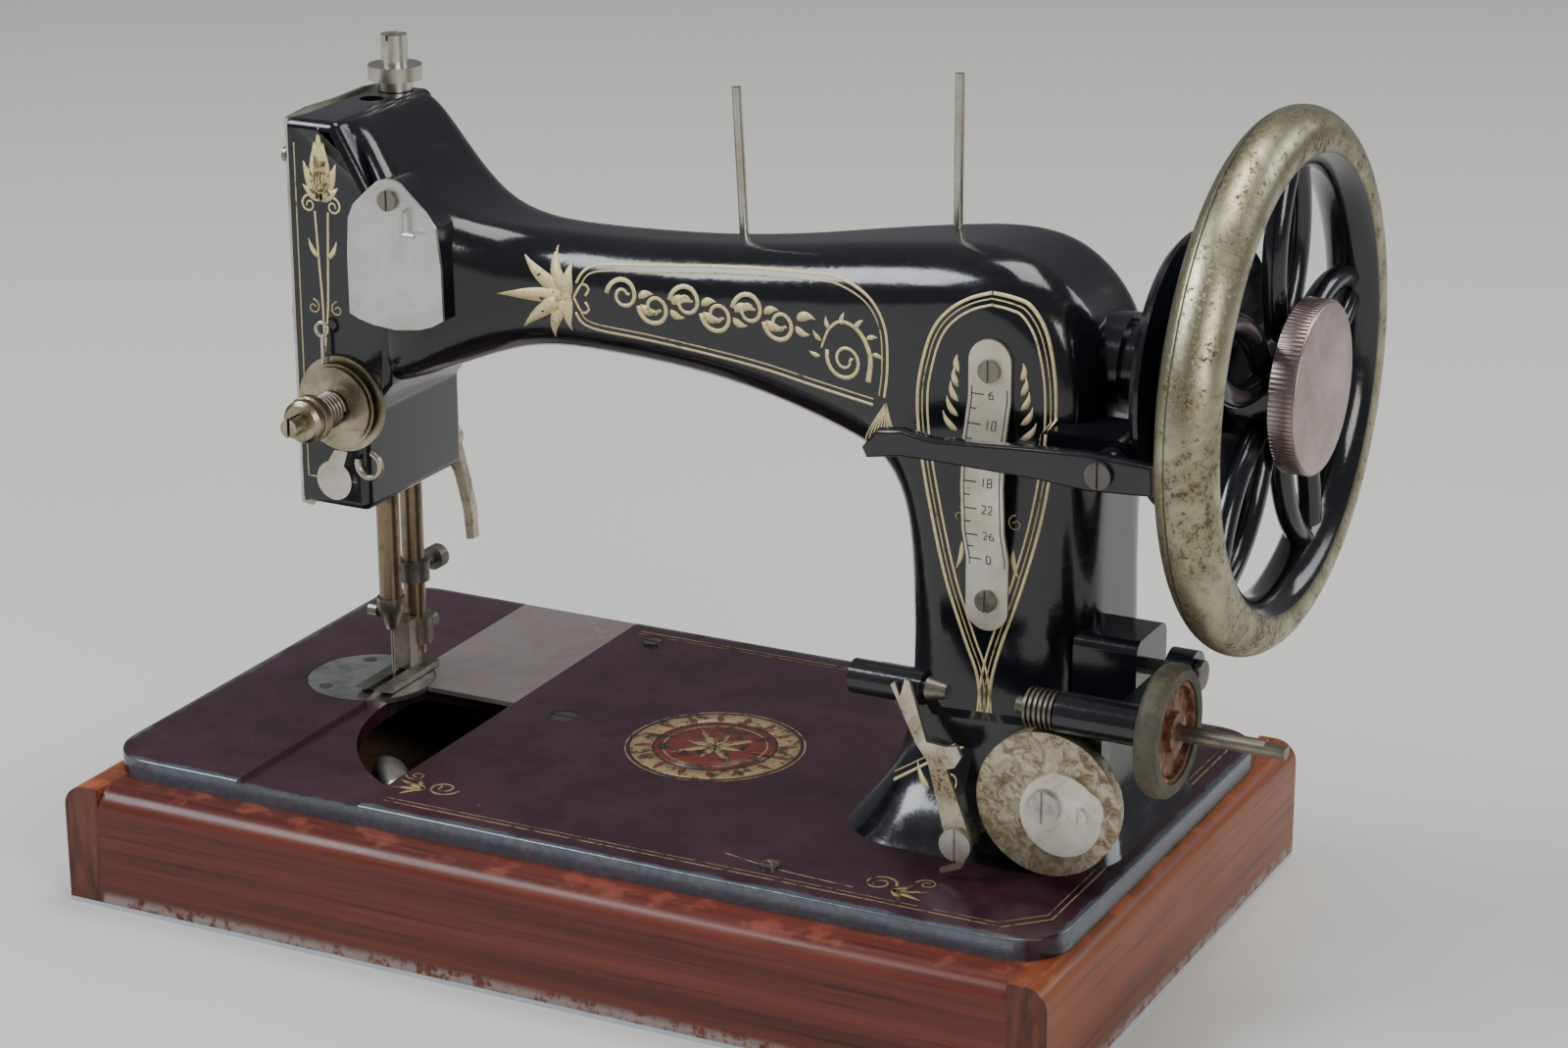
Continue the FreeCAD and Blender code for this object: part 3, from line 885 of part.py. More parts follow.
def make_tension():
    """Stud, base, two discs, spring, nut, check spring and guides on the head's front."""
    x, y, z = TENSION
    ahead = lambda far: f"{y} - ({far})"
    stud = cylinder("stud_blank", "stud_radius", "38", (x, ahead("31"), z), "Y")
    slot = block("stud_slot", ("1", "10", "8"), (f"{x} - 0.5", ahead("33"), f"{z} - 4"))
    finish(cut("tension_stud", stud, slot), "tension_stud")
    discs = []
    for name, radius, far, thick in (("tension_base", "tension_base", "2", "2"),
                                     ("tension_inner_disc", "tension_disc + 0.8", "4.9", "1.2"),
                                     ("tension_outer_disc", "tension_disc", "6.4", "1.2")):
        dish = ((f"stud_radius + fit", "0"), ("stud_radius + 5", "0"), (f"{radius}", "0.55"),
                (f"{radius}", thick), ("stud_radius + 4.5", f"{thick} - 0.3"), ("stud_radius + fit",
                        f"{thick} - 0.3"))
        discs.append(turned(name, dish, (x, ahead(far), z), "Y"))
    finish(fuse("tension_discs", *discs), "tension_discs")
    spring = coil("tension_spring", 5.1, 0.75, 8.5, 5)
    settle(spring, (x, ahead("16"), z), AIM["Y"])
    finish(spring, "tension_spring")
    profile = (("stud_radius + fit", "0"), ("5.6", "0"), ("6.8", "1.2"), ("6.8", "4"), ("7.4", "4.4"),
               ("7.4", "7"), ("stud_radius + fit", "7"))
    nut = turned("tension_nut", profile, (x, ahead("24.6"), z), "Y")
    finish(nut, "tension_nut")
    hook = [cylinder("check_lead", "0.6", "13", (f"{x} - 5", ahead("2.9"), f"{z} + 9.5")),
            ring("check_eye", "2.2", "0.6", (f"{x} - 5", ahead("2.9"), f"{z} + 24"), "Y")]
    GUIDES.append(fuse("check_spring", *hook))
    bulb = fuse("slack_plate", cylinder("slack_bulb", "6.4", "1.2", (f"{x} - 4", ahead("1.2"), f"{z} - 26"),
            "Y"),
                prism("slack_neck", "XZ", ((f"{x} - 7.4", f"{z} - 22"), (f"{x} - 0.6", f"{z} - 22"),
                                           (f"{x} + 1.4", f"{z} - 15.8"),
                      (f"{x} - 3.4", f"{z} - 15.8")), y, "1.2"))
    GUIDES.append(bulb)
    crescent = ring("guide_ring", "4.2", "1.1", (f"{x} + 9.7", ahead("1.6"), f"{z} - 18.8"), "Y")
    gap_block = block("guide_gap", ("9", "6", "5"), (f"{x} + 1.7", ahead("4"), f"{z} - 17.2"))
    GUIDES.append(cut("guide_crescent", ring_trim(crescent, y, x, z), gap_block))


def ring_trim(crescent, y, x, z):
    """Flatten the back of the guide so that it seats on the head."""
    return cut("guide_flat", crescent, block("guide_seat", ("20", "6", "20"), (f"{x} - 3", y, f"{z} - 27")))


def make_stitch_lever():
    """Bowed stitch scale with its screws, and the lever that crosses it on its shoulder screw."""
    face = PILLAR_FRONT
    low, high = f"{SHAFT_Z} + scale_rise - scale_length", f"{SHAFT_Z} + scale_rise"
    side = ((face, low), (face, f"{low} + 22"), (f"{face} - 3.6", f"{low} + 32"),
            (f"{face} - 4.8", f"{low} + 46"),
            (f"{face} - 3.6", f"{low} + 60"), (face, f"{high} - 18"), (face, high))
    outer = [(f"{y} - scale_thick", z) for y, z in reversed(side)]
    strip = prism("scale_strip", "YZ", (*side, *outer), f"{PILLAR_X} - scale_width / 2", "scale_width")
    tall = "scale_length - scale_width"
    shape = fuse("scale_outline",
                 block("scale_middle", ("scale_width", "20", tall), (f"{PILLAR_X} - scale_width / 2",
                         f"{face} - 15", f"{low} + scale_width / 2")),
                 cylinder("scale_low_end", "scale_width / 2", "20", (PILLAR_X, f"{face} - 15",
                         f"{low} + scale_width / 2"), "Y"),
                 cylinder("scale_high_end", "scale_width / 2", "20", (PILLAR_X, f"{face} - 15",
                         f"{high} - scale_width / 2"), "Y"))
    holes = [cylinder(f"scale_hole_{n}", "1.65", "20", (PILLAR_X, f"{face} - 10", z), "Y")
             for n, z in enumerate(SCALE_SCREWS)]
    finish(cut("stitch_scale", common("scale_blank", strip, shape), *holes), "stitch_scale")
    heads = [screw(f"scale_screw_{n}", (PILLAR_X, f"{face} - scale_thick", z), "-Y", "3.4", "1.2", "1.6",
                   "7")
             for n, z in enumerate(SCALE_SCREWS)]
    SCREWS.extend(heads)
    x, z = LEVER_X, LEVER_Z
    outline = ((f"{x} + 16", f"{z} + 4.5"), (f"{x} - 4", f"{z} + 5.6"), (f"{x} - 20", f"{z} + 5"),
               (f"{x} - 52", f"{z} + 3"),
               (f"{x} - 62", f"{z} + 4.6"), (f"{x} - 70", f"{z} + 3.4"), (f"{x} - 74.5",
                       f"{z} - 2.4"), (f"{x} - 73", f"{z} - 5.4"),
               (f"{x} - 62", f"{z} - 3.6"), (f"{x} - 52", f"{z} - 3.6"), (f"{x} - 20",
                       f"{z} - 4.4"), (f"{x} - 4", f"{z} - 5.6"),
               (f"{x} + 16", f"{z} - 4.5"))
    blank = prism("lever_blank", "XZ", outline, f"{LEVER_FRONT} + lever_thick", "lever_thick")
    soft = rounded("lever_rounded", blank, "1.2", lambda edge: not upright(edge, V(0, 1, 0)))
    hub = cylinder("lever_hub", "5.4", "5.4", (x, f"{LEVER_FRONT} + 4.6", z), "Y")
    bore = cylinder("lever_hub_bore", "2.5 + fit", "20", (x, f"{LEVER_FRONT} - 5", z), "Y")
    finish(cut("stitch_lever", fuse("lever_body", soft, hub), bore), "stitch_lever")
    PIVOTS.append(screw("lever_pivot", (x, f"{LEVER_FRONT} - fit", z), "-Y", "4", "1.6", "2.5", "20"))


def make_wheel():
    """Plated rim, spoked wheel with belt pulley, and the knurled clutch knob."""
    centre = (WHEEL_X, "shaft_y", SHAFT_Z)
    rim = ring("rim_blank", "wheel_ring", "wheel_section", centre, "X")
    inner = turned("rim_inner", (("0", "-12"), ("wheel_ring - wheel_section + 5", "-12"),
                                 ("wheel_ring - wheel_section + 5", "12"), ("0", "12")), centre, "X")
    finish(cut("handwheel_rim", rim, inner), "handwheel_rim")
    band = common("band", ring("band_ring", "wheel_ring", "wheel_section", centre, "X"),
                  cylinder("band_limit", "wheel_ring - wheel_section + 5", "24",
                           (f"{WHEEL_X} - 12", "shaft_y", SHAFT_Z), "X"))
    hub = cylinder("wheel_hub", "hub_radius", f"{WHEEL_X} - {RIGHT_FACE} - 9.6",
                   (f"{RIGHT_FACE} + 15", "shaft_y", SHAFT_Z), "X")
    left = f"{RIGHT_FACE} + 16.6"
    profile = (("0", "0"), ("pulley_radius - 2", "0"), ("pulley_radius", "2"), ("pulley_radius", "3.4"),
               ("pulley_groove", "6"),
               ("pulley_groove", "8.4"), ("pulley_radius - 1", "11"), ("pulley_radius - 1", "12.8"),
               ("pulley_radius - 3", "14.4"), ("0", "14.4"))
    pulley = turned("pulley", profile, (left, "shaft_y", SHAFT_Z), "X")
    spokes = [spoke(n, side) for n in range(5) for side in (-1, 1)]
    bore = cylinder("wheel_bore", "shaft_radius", "60", (f"{RIGHT_FACE} + 8", "shaft_y", SHAFT_Z), "X")
    finish(cut("handwheel", fuse("wheel_blank", band, hub, pulley, *spokes), bore), "handwheel")
    knob_x = f"{WHEEL_X} + 14.3 - knob_thick"
    profile = (("shaft_radius + fit", "0"), ("knob_radius - 0.8", "0"), ("knob_radius", "0.8"),
               ("knob_radius", "knob_thick - 1"), ("knob_radius - 1", "knob_thick"), ("0", "knob_thick"),
               ("0", "knob_bore"), ("shaft_radius + fit", "knob_bore"))
    knob = turned("clutch_knob", profile, (knob_x, "shaft_y", SHAFT_Z), "X")
    finish(knob, "clutch_knob")


def spoke(number, side):
    """One of the ten bowed spokes: an arc from hub to rim that bulges to one side."""
    inner, outer = worth("hub_radius - 2"), worth("wheel_ring - wheel_section + 2.2")
    middle = (inner + outer) / 2
    bulge = 9.5 * side
    start, end = V(inner, 0.22 * bulge, 0), V(outer, 0.32 * bulge, 0)
    path = Part.Wire(Part.Arc(start, V(middle, bulge, 0), end).toShape())
    lead = (V(middle, bulge, 0) - start).normalize()
    tangent = V(lead.x, lead.y * 1.6, 0).normalize()
    profile = Part.Wire(Part.makeCircle(3.6, start, tangent))
    item = DOC.addObject("Part::Feature", f"spoke_{number}_{'left' if side < 0 else 'right'}")
    item.Shape = path.makePipeShell([profile], True, True)
    turn = FreeCAD.Rotation(V(1, 0, 0), 72 * number + 12).multiply(FreeCAD.Rotation(V(0, 1, 0), V(0, 0, 1),
            V(1, 0, 0), "ZXY"))
    return settle(item, (WHEEL_X, "shaft_y", SHAFT_Z), turn)


def make_winder():
    """Swinging bobbin winder: frame, spindle, tyred wheel, worm wheel, cam and guide."""
    y, z = WINDER_Y, WINDER_Z
    left = f"{PILLAR_X} - 29.7"
    arm_x = f"{RIGHT_FACE} + 23"
    bush = cylinder("winder_bush", "6.1", f"{arm_x} + 8 - {WORM_X} - 10", (f"{WORM_X} + 10", y, z), "X")
    tail = cylinder("winder_tail", "5.2", "23", (left, y, z), "X")
    beam = prism("winder_beam", "XZ", ((f"{left} + 5", f"{z} + 2"), (f"{left} + 17", f"{z} + 2"),
            (f"{left} + 24", f"{z} - 9"),
                 (f"{WORM_X} + 9", f"{z} - 7"), (f"{WORM_X} + 14", f"{z}"), (f"{WORM_X} + 22",
                         f"{z}"), (f"{WORM_X} + 22", f"{z} - 42"),
                 (f"{GEAR[0]} - 6", f"{GEAR[2]} - 6"), (f"{GUIDE[0]} + 6",
                         f"{GUIDE[1]} - 6"), (f"{GUIDE[0]} - 6", f"{GUIDE[1]} - 4"),
                 (f"{GUIDE[0]} + 1", f"{z} - 18"), (f"{left} + 16", f"{z} - 14")), f"{y} + 9", "6.6")
    arm = block("winder_arm", ("8", f"{SWING_Y} - ({y})", "10"), (arm_x, y, f"{z} - 4.5"))
    hub = cylinder("winder_hub", "7", "8", (arm_x, SWING_Y, SWING_Z), "X")
    solids = [bush, tail, beam, arm, hub]
    tools = [cylinder("winder_bush_bore", "2.6 + fit", "60", (f"{WORM_X} + 5", y, z), "X"),
             cylinder("winder_tail_bore", "2.2", "16", (f"{left} + 8", y, z), "X"),
             cylinder("winder_hub_bore", "2.5 + fit", "16", (f"{arm_x} - 4", SWING_Y, SWING_Z), "X"),
             cylinder("gear_pin_bore", "2", "16", (GEAR[0], f"{y} - 4", GEAR[2]), "Y"),
             cylinder("guide_pin_bore", "2", "16", (GUIDE[0], f"{y} - 4", GUIDE[1]), "Y"),
             cylinder("worm_room", "worm_radius + 0.6", "9.6", (f"{WORM_X} - 0.3", y, z), "X")]
    finish(cut("winder_frame", fuse("winder_blank", *solids), *tools), "winder_frame")
    PIVOTS.append(fuse("winder_swing_pin", cylinder("swing_shank", "2.5",
            f"{arm_x} + 8.4 - {RIGHT_FACE} - 4", (f"{RIGHT_FACE} + 4", SWING_Y, SWING_Z), "X"),
                cylinder("swing_head", "4.4", "2", (f"{arm_x} + 8.2", SWING_Y, SWING_Z), "X")))
    thick_end = f"{TYRE_X} + tyre_width + 0.9"
    spindle = fuse("spindle_blank",
                   cylinder("spindle_journal", "2.6", f"{thick_end} - {WORM_X} + 3",
                            (f"{WORM_X} - 3", y, z), "X"),
                   cylinder("spindle_end", "2.4", f"{WHEEL_X} + 27 - ({thick_end})", (thick_end, y, z),
                            "X"))
    notch = block("spindle_notch", ("7", "6", "3"), (f"{WHEEL_X} + 21", f"{y} - 3", f"{z} + 1.2"))
    core = cylinder("worm_core", "worm_radius - 1.2", "9", (WORM_X, y, z), "X")
    threads = [cylinder(f"worm_thread_{n}", "worm_radius", "0.8", (f"{WORM_X} + {0.5 + 1.6 * n}", y, z),
                        "X") for n in range(6)]
    finish(fuse("winder_spindle", cut("spindle_notched", spindle, notch), core, *threads), "winder_spindle")
    hub_profile = (("2.6", "0.6"), ("6", "0.6"), ("6", "2"), ("tyre_radius - 6", "2"),
                   ("tyre_radius - 6", "1"), ("tyre_radius - 4.5", "1"),
                   ("tyre_radius - 4.5", "tyre_width - 1"), ("tyre_radius - 6",
                           "tyre_width - 1"), ("tyre_radius - 6", "tyre_width - 2.6"),
                   ("6", "tyre_width - 2.6"), ("6", "tyre_width - 0.4"), ("2.6", "tyre_width - 0.4"))
    finish(turned("friction_wheel", hub_profile, (TYRE_X, y, z), "X"), "friction_wheel")
    tyre_profile = (("tyre_radius - 4.5", "0.2"), ("tyre_radius - 1.6", "0"), ("tyre_radius - 0.3", "1.4"),
                    ("tyre_radius", "tyre_width / 2"),
                    ("tyre_radius - 0.3", "tyre_width - 1.4"), ("tyre_radius - 1.6",
                            "tyre_width"), ("tyre_radius - 4.5", "tyre_width - 0.2"))
    finish(turned("rubber_tyre", tyre_profile, (TYRE_X, y, z), "X"), "rubber_tyre")
    centre = cylinder("bobbin_centre_stem", "2.2", "9", (f"{left} + 20", y, z), "X")
    tip = cone("bobbin_centre_tip", "3.6", "2.2", "6", (f"{left} + 24", y, z), "X")
    finish(fuse("bobbin_centre", centre, tip), "bobbin_centre")
    make_winder_front(y)


def make_winder_front(y):
    """Worm wheel with heart cam on its shoulder screw, and the thread guide lever."""
    gx, gz = GEAR[0], GEAR[2]
    disc = cylinder("worm_wheel_disc", "worm_wheel_radius", "3.6", (gx, f"{y} - 1.8", gz), "Y")
    bore = cylinder("worm_wheel_bore", "2 + fit", "20", (gx, f"{y} - 10", gz), "Y")
    finish(cut("worm_wheel", disc, bore), "worm_wheel")
    lobe = fuse("cam_blank", cylinder("cam_round", "12.6", "2.2", (f"{gx} + 5", f"{y} - 4", f"{gz} - 2"),
                                      "Y"),
                cylinder("cam_nose", "6", "2.2", (f"{gx} + 12.4", f"{y} - 4", f"{gz} + 1"), "Y"))
    plate = cut("cam_bored", lobe, cylinder("cam_bore", "2 + fit", "20", (gx, f"{y} - 10", gz), "Y"))
    stud = screw("cam_screw", (f"{gx} + 11", f"{y} - 4", f"{gz} - 1"), "-Y", "2.6", "1.3", "1.2", "2.2")
    finish(fuse("heart_cam", plate, stud), "heart_cam")
    gear_screw = screw("gear_screw", (gx, f"{y} - 4.1", gz), "-Y", "5", "1.8", "2", "13")
    x, z = GUIDE
    lever = prism("guide_blade", "XZ", ((f"{x} - 3.4", z), (f"{x} - 9.6", f"{z} + 24"),
            (f"{x} - 13.4", f"{z} + 29"),
                  (f"{x} - 21.6", f"{z} + 46"), (f"{x} - 20.2", f"{z} + 47"), (f"{x} - 18.6",
                          f"{z} + 42.6"), (f"{x} - 17", f"{z} + 48.4"),
                  (f"{x} - 15.6", f"{z} + 48"), (f"{x} - 10", f"{z} + 30"), (f"{x} - 4",
                          f"{z} + 29.6"), (f"{x} - 0.4", f"{z} + 30.4"),
                  (f"{x} + 1.2", f"{z} + 27.4"), (f"{x} - 1", f"{z} + 23.6"), (f"{x} - 3.6",
                          f"{z} + 22.6"), (f"{x} + 4.4", f"{z} + 2")),
                  f"{y} - 5.6", "1.4")
    hub = cylinder("guide_hub", "4.6", "1.4", (x, f"{y} - 7", z), "Y")
    post = cylinder("guide_post_spacer", "3.4", "7.9", (x, f"{y} - 5.6", z), "Y")
    tail = prism("guide_tail", "XZ", ((f"{x} + 1", f"{z} - 3"), (f"{x} + 4", f"{z} - 2"),
                                      (f"{x} + 1.6", f"{z} - 7.6"),
                 (f"{x} - 5", f"{z} - 10.4"), (f"{x} - 5.6", f"{z} - 9"), (f"{x} - 0.4",
                         f"{z} - 6.4")), f"{y} - 5.6", "1.4")
    bore = cylinder("guide_bore", "2 + fit", "20", (x, f"{y} - 10", z), "Y")
    finish(cut("guide_lever", fuse("guide_blank", lever, hub, tail, post), bore), "guide_lever")
    guide_screw = screw("guide_screw", (x, f"{y} - 7.1", z), "-Y", "5", "1.6", "2", "16.6")
    finish(fuse("winder_screws", gear_screw, guide_screw), "winder_screws")


def make_rear_cover():
    """Plate over the opening in the back of the pillar, and its screws."""
    back = "shaft_y + pillar_depth / 2"
    blank = block("rear_cover_blank", ("36", "1.6", "78"), (f"{PILLAR_X} - 18", back, f"{SHAFT_Z} - 74.6"))
    holes = [cylinder(f"rear_cover_hole_{n}", "1.45", "9", (PILLAR_X, f"{back} - 3", z), "Y") for n,
             z in enumerate(REAR_SCREWS)]
    plate = rounded("rear_cover_rounded", blank, "6", lambda edge: upright(edge, V(0, 1, 0)))
    finish(cut("rear_cover", plate, *holes), "rear_cover")
    heads = [screw(f"rear_screw_{n}", (PILLAR_X, f"{back} + 1.6", z), "Y", "2.8", "1.2", "1.4", "6.6")
             for n, z in enumerate(REAR_SCREWS)]
    SCREWS.extend(heads)


def check_and_write():
    """Stop at any failed object or bad shape, then write one file for each sub-part."""
    DOC.recompute()
    failed = [item.Name for item in DOC.Objects if {"Invalid", "Error"} & set(item.State)]
    if failed:
        raise RuntimeError("failed: " + ", ".join(failed))
    for item in PARTS:
        if item.Shape.isNull() or not item.Shape.isValid():
            raise RuntimeError(f"{item.Label} has no valid shape")
    os.makedirs("parts", exist_ok=True)
    for item in PARTS:
        item.Shape.exportStep(f"parts/{item.Label}.step")
    print(len(PARTS), "sub-parts written")


fill_sheet()
screw_holes = make_base()
make_bed(screw_holes)
make_plates()
make_casting()
make_head_trim()
make_main_shaft()
make_under_bed()
make_shuttle()
make_bars()
make_foot()
make_take_up()
make_tension()
make_stitch_lever()
make_wheel()
make_winder()
make_rear_cover()
finish(fuse("case_screws", *SCREWS), "case_screws")
finish(fuse("pivot_screws", *PIVOTS), "pivot_screws")
finish(fuse("thread_guides", *GUIDES), "thread_guides")
check_and_write()
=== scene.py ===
import math

import bpy
from mathutils import Matrix, Quaternion, Vector


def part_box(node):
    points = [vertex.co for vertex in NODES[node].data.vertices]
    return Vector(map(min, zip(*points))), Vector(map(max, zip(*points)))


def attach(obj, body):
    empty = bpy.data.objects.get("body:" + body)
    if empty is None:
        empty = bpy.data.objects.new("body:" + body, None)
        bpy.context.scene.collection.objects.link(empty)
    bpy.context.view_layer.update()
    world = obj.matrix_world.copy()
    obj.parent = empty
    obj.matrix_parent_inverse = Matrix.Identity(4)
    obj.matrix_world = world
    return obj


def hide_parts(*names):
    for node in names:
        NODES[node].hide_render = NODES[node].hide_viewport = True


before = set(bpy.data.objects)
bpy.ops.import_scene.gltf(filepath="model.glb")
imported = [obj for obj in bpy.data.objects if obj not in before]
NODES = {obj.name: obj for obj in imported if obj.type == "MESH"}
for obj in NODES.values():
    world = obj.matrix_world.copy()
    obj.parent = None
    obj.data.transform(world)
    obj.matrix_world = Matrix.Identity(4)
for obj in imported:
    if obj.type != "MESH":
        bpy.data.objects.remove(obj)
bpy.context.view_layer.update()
MM = 0.001
GILT_THICK = 0.05 * MM    # a gold transfer, as a film

# ---------------------------------------------------------------- shader maths


class Value:
    """A number that varies over a surface; arithmetic on it adds Math nodes."""

    def __init__(self, look, socket):
        self.look, self.socket = look, socket

    def math(self, operation, *others, flip=False):
        values = [self, *others]
        if flip:
            values.reverse()
        sockets = {n: v for n, v in enumerate(values)}
        made = self.look.node("ShaderNodeMath", {"operation": operation}, sockets)
        return Value(self.look, made.outputs[0])

    def __add__(self, other): return self.math("ADD", other)
    def __radd__(self, other): return self.math("ADD", other)
    def __sub__(self, other): return self.math("SUBTRACT", other)
    def __rsub__(self, other): return self.math("SUBTRACT", other, flip=True)
    def __mul__(self, other): return self.math("MULTIPLY", other)
    def __rmul__(self, other): return self.math("MULTIPLY", other)
    def __pow__(self, other): return self.math("POWER", other)
    def __abs__(self): return self.math("ABSOLUTE")

    def above(self, edge, soft):
        """0 below the edge and 1 above it, with a soft step between."""
        sockets = {"Value": self, "From Min": edge - soft, "From Max": edge + soft}
        made = self.look.node("ShaderNodeMapRange", {"interpolation_type": "SMOOTHSTEP"}, sockets)
        return Value(self.look, made.outputs[0])

    def spread(self, low, high):
        """Carry a 0 to 1 value onto low to high."""
        return self * (high - low) + low

    def largest(self, other): return self.math("MAXIMUM", other)


class Look:
    """One procedural material on a Principled shader, patterned in object coordinates."""

    def __init__(self, name):
        self.material = bpy.data.materials.new(name)
        self.material.use_nodes = True
        self.tree = self.material.node_tree
        self.tree.nodes.clear()
        self.shader = self.node("ShaderNodeBsdfPrincipled")
        self.node("ShaderNodeOutputMaterial", {}, {"Surface": self.shader.outputs[0]})
        self.coords = self.node("ShaderNodeTexCoord").outputs["Object"]
        split = self.node("ShaderNodeSeparateXYZ", {}, {"Vector": self.coords})
        self.x, self.y, self.z = (Value(self, split.outputs[n]) for n in range(3))

    def node(self, kind, settings=None, sockets=None):
        made = self.tree.nodes.new(kind)
        for name, value in (settings or {}).items():
            if name == "stops":
                self.fill_ramp(made.color_ramp, value)
            else:
                setattr(made, name, value)
        for name, value in (sockets or {}).items():
            self.feed(made.inputs[name], value)
        return made

    def fill_ramp(self, ramp, stops):
        while len(ramp.elements) < len(stops):
            ramp.elements.new(1)
        for element, (place, colour) in zip(ramp.elements, stops):
            element.position = place
            element.color = (*colour, 1)

    def feed(self, socket, value):
        if isinstance(value, Value):
            self.tree.links.new(value.socket, socket)
        elif isinstance(value, bpy.types.NodeSocket):
            self.tree.links.new(value, socket)
        elif isinstance(value, tuple) and len(value) == 3 and socket.type == "RGBA":
            socket.default_value = (*value, 1)
        else:
            socket.default_value = value

    def stretched(self, scale, turn=(0, 0, 0)):
        sockets = {"Vector": self.coords, "Scale": scale, "Rotation": turn}
        return self.node("ShaderNodeMapping", {}, sockets).outputs[0]

    def noise(self, scale, detail=4.0, rough=0.55, warp=0.0, vector=None):
        sockets = {"Vector": vector or self.coords, "Scale": scale, "Detail": detail,
                   "Roughness": rough, "Distortion": warp}
        return Value(self, self.node("ShaderNodeTexNoise", {}, sockets).outputs[0])

    def cells(self, scale, vector=None):
        sockets = {"Vector": vector or self.coords, "Scale": scale}
        return Value(self, self.node("ShaderNodeTexVoronoi", {}, sockets).outputs["Distance"])

    def mix(self, mask, first, second):
        sockets = {0: mask, 6: first, 7: second}
        return self.node("ShaderNodeMix", {"data_type": "RGBA"}, sockets).outputs[2]

    def ramp(self, value, *stops):
        return self.node("ShaderNodeValToRGB", {"stops": stops}, {"Fac": value}).outputs[0]

    def bump(self, height, strength, distance):
        sockets = {"Height": height, "Strength": strength, "Distance": distance}
        self.feed(self.shader.inputs["Normal"], self.node("ShaderNodeBump", {}, sockets).outputs[0])

    def set(self, **values):
        """Feed the shader's sockets by short names and hand back the finished material."""
        names = {"colour": "Base Color", "metal": "Metallic", "rough": "Roughness", "coat": "Coat Weight",
                 "coat_rough": "Coat Roughness", "sheen": "Sheen Weight",
                 "sheen_rough": "Sheen Roughness", "shine": "Specular IOR Level"}
        for name, value in values.items():
            self.feed(self.shader.inputs[names[name]], value)
        return self.material


# ---------------------------------------------------------------- finishes


def japanning(name="japan_black", tint=(0.0055, 0.006, 0.0085), age=1.0):
    """Baked black varnish on iron: deep gloss, a haze of handling, fine scratches, a few chips."""
    look = Look(name)
    haze = look.noise(38, 6, 0.62)
    smear = look.noise(210, 3, 0.5, vector=look.stretched((1, 0.25, 2.2)))
    chips = look.noise(430, 5, 0.7).above(0.735, 0.02) * look.noise(34, 3).above(0.55, 0.06)
    base = look.mix(haze.above(0.55, 0.2), tint, tuple(1.5 * part for part in tint))
    colour = look.mix(chips * age, base, (0.105, 0.062, 0.04))
    look.bump(look.noise(900, 2) * 0.35 + look.noise(60, 2) * 0.5 - chips * 0.6, 0.16, 0.0006)
    rough = haze.spread(0.06, 0.24) + smear.above(0.62, 0.1) * 0.08 + chips * 0.3
    return look.set(colour=colour, rough=rough, coat=0.25, coat_rough=0.08)


def bed_finish():
    """Plum-black varnish of the bed, rubbed to bluish iron along its rim and speckled with wear."""
    look = Look("bed_japan")
    low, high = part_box("bed_plate")
    centre = (low + high) / 2
    half_x, half_y = (high.x - low.x) / 2, (high.y - low.y) / 2
    out = (abs(look.x - centre.x) - half_x).largest(abs(look.y - centre.y) - half_y)
    patch = look.noise(55, 6, 0.65)
    fine = look.noise(420, 5, 0.7)
    rim = (out + (patch - 0.5) * 0.007).above(-0.0016, 0.0012)
    specks = fine.above(0.70, 0.03) * patch.above(0.5, 0.1)
    side = (0.0 - (look.z - (high.z - 0.0012))).above(0, 0.0004) * patch.above(0.52, 0.06) * 0.6
    side = side * out.above(-0.0016, 0.0004)
    wear = rim.largest(side)
    base = look.mix(patch.above(0.5, 0.25), (0.022, 0.0075, 0.013), (0.046, 0.016, 0.027))
    worn = look.mix(fine, (0.06, 0.075, 0.10), (0.26, 0.29, 0.33))
    colour = look.mix(specks * 0.7, look.mix(wear * 0.8, base, worn), (0.17, 0.13, 0.12))
    look.bump(look.noise(1500, 3) * 0.5 + patch, 0.2, 0.0005)
    rough = patch.spread(0.10, 0.30) + specks * 0.2
    return look.set(colour=colour, rough=rough, metal=wear * 0.6, shine=0.3)


def plating(name, clean, stain, pit=(0.07, 0.05, 0.035), pits=0.5, gloss=0.24, scale=1.0):
    """Old nickel plate: a clean colour, yellowed stains, dark pits and wandering gloss."""
    look = Look(name)
    cloud = look.noise(48 * scale, 7, 0.68, 0.6)
    fine = look.noise(520 * scale, 6, 0.75)
    spots = (fine * 0.6 + cloud * 0.4).above(0.66 - 0.1 * pits, 0.035)
    colour = look.mix(cloud.above(0.5, 0.16), clean, stain)
    colour = look.mix(spots * min(1.0, 0.35 + pits), colour, pit)
    look.bump(fine - spots * 0.8, 0.22, 0.0004)
    rough = cloud.spread(gloss - 0.1, gloss + 0.22) + spots * 0.3
    return look.set(colour=colour, metal=1.0 - spots * 0.55, rough=rough)


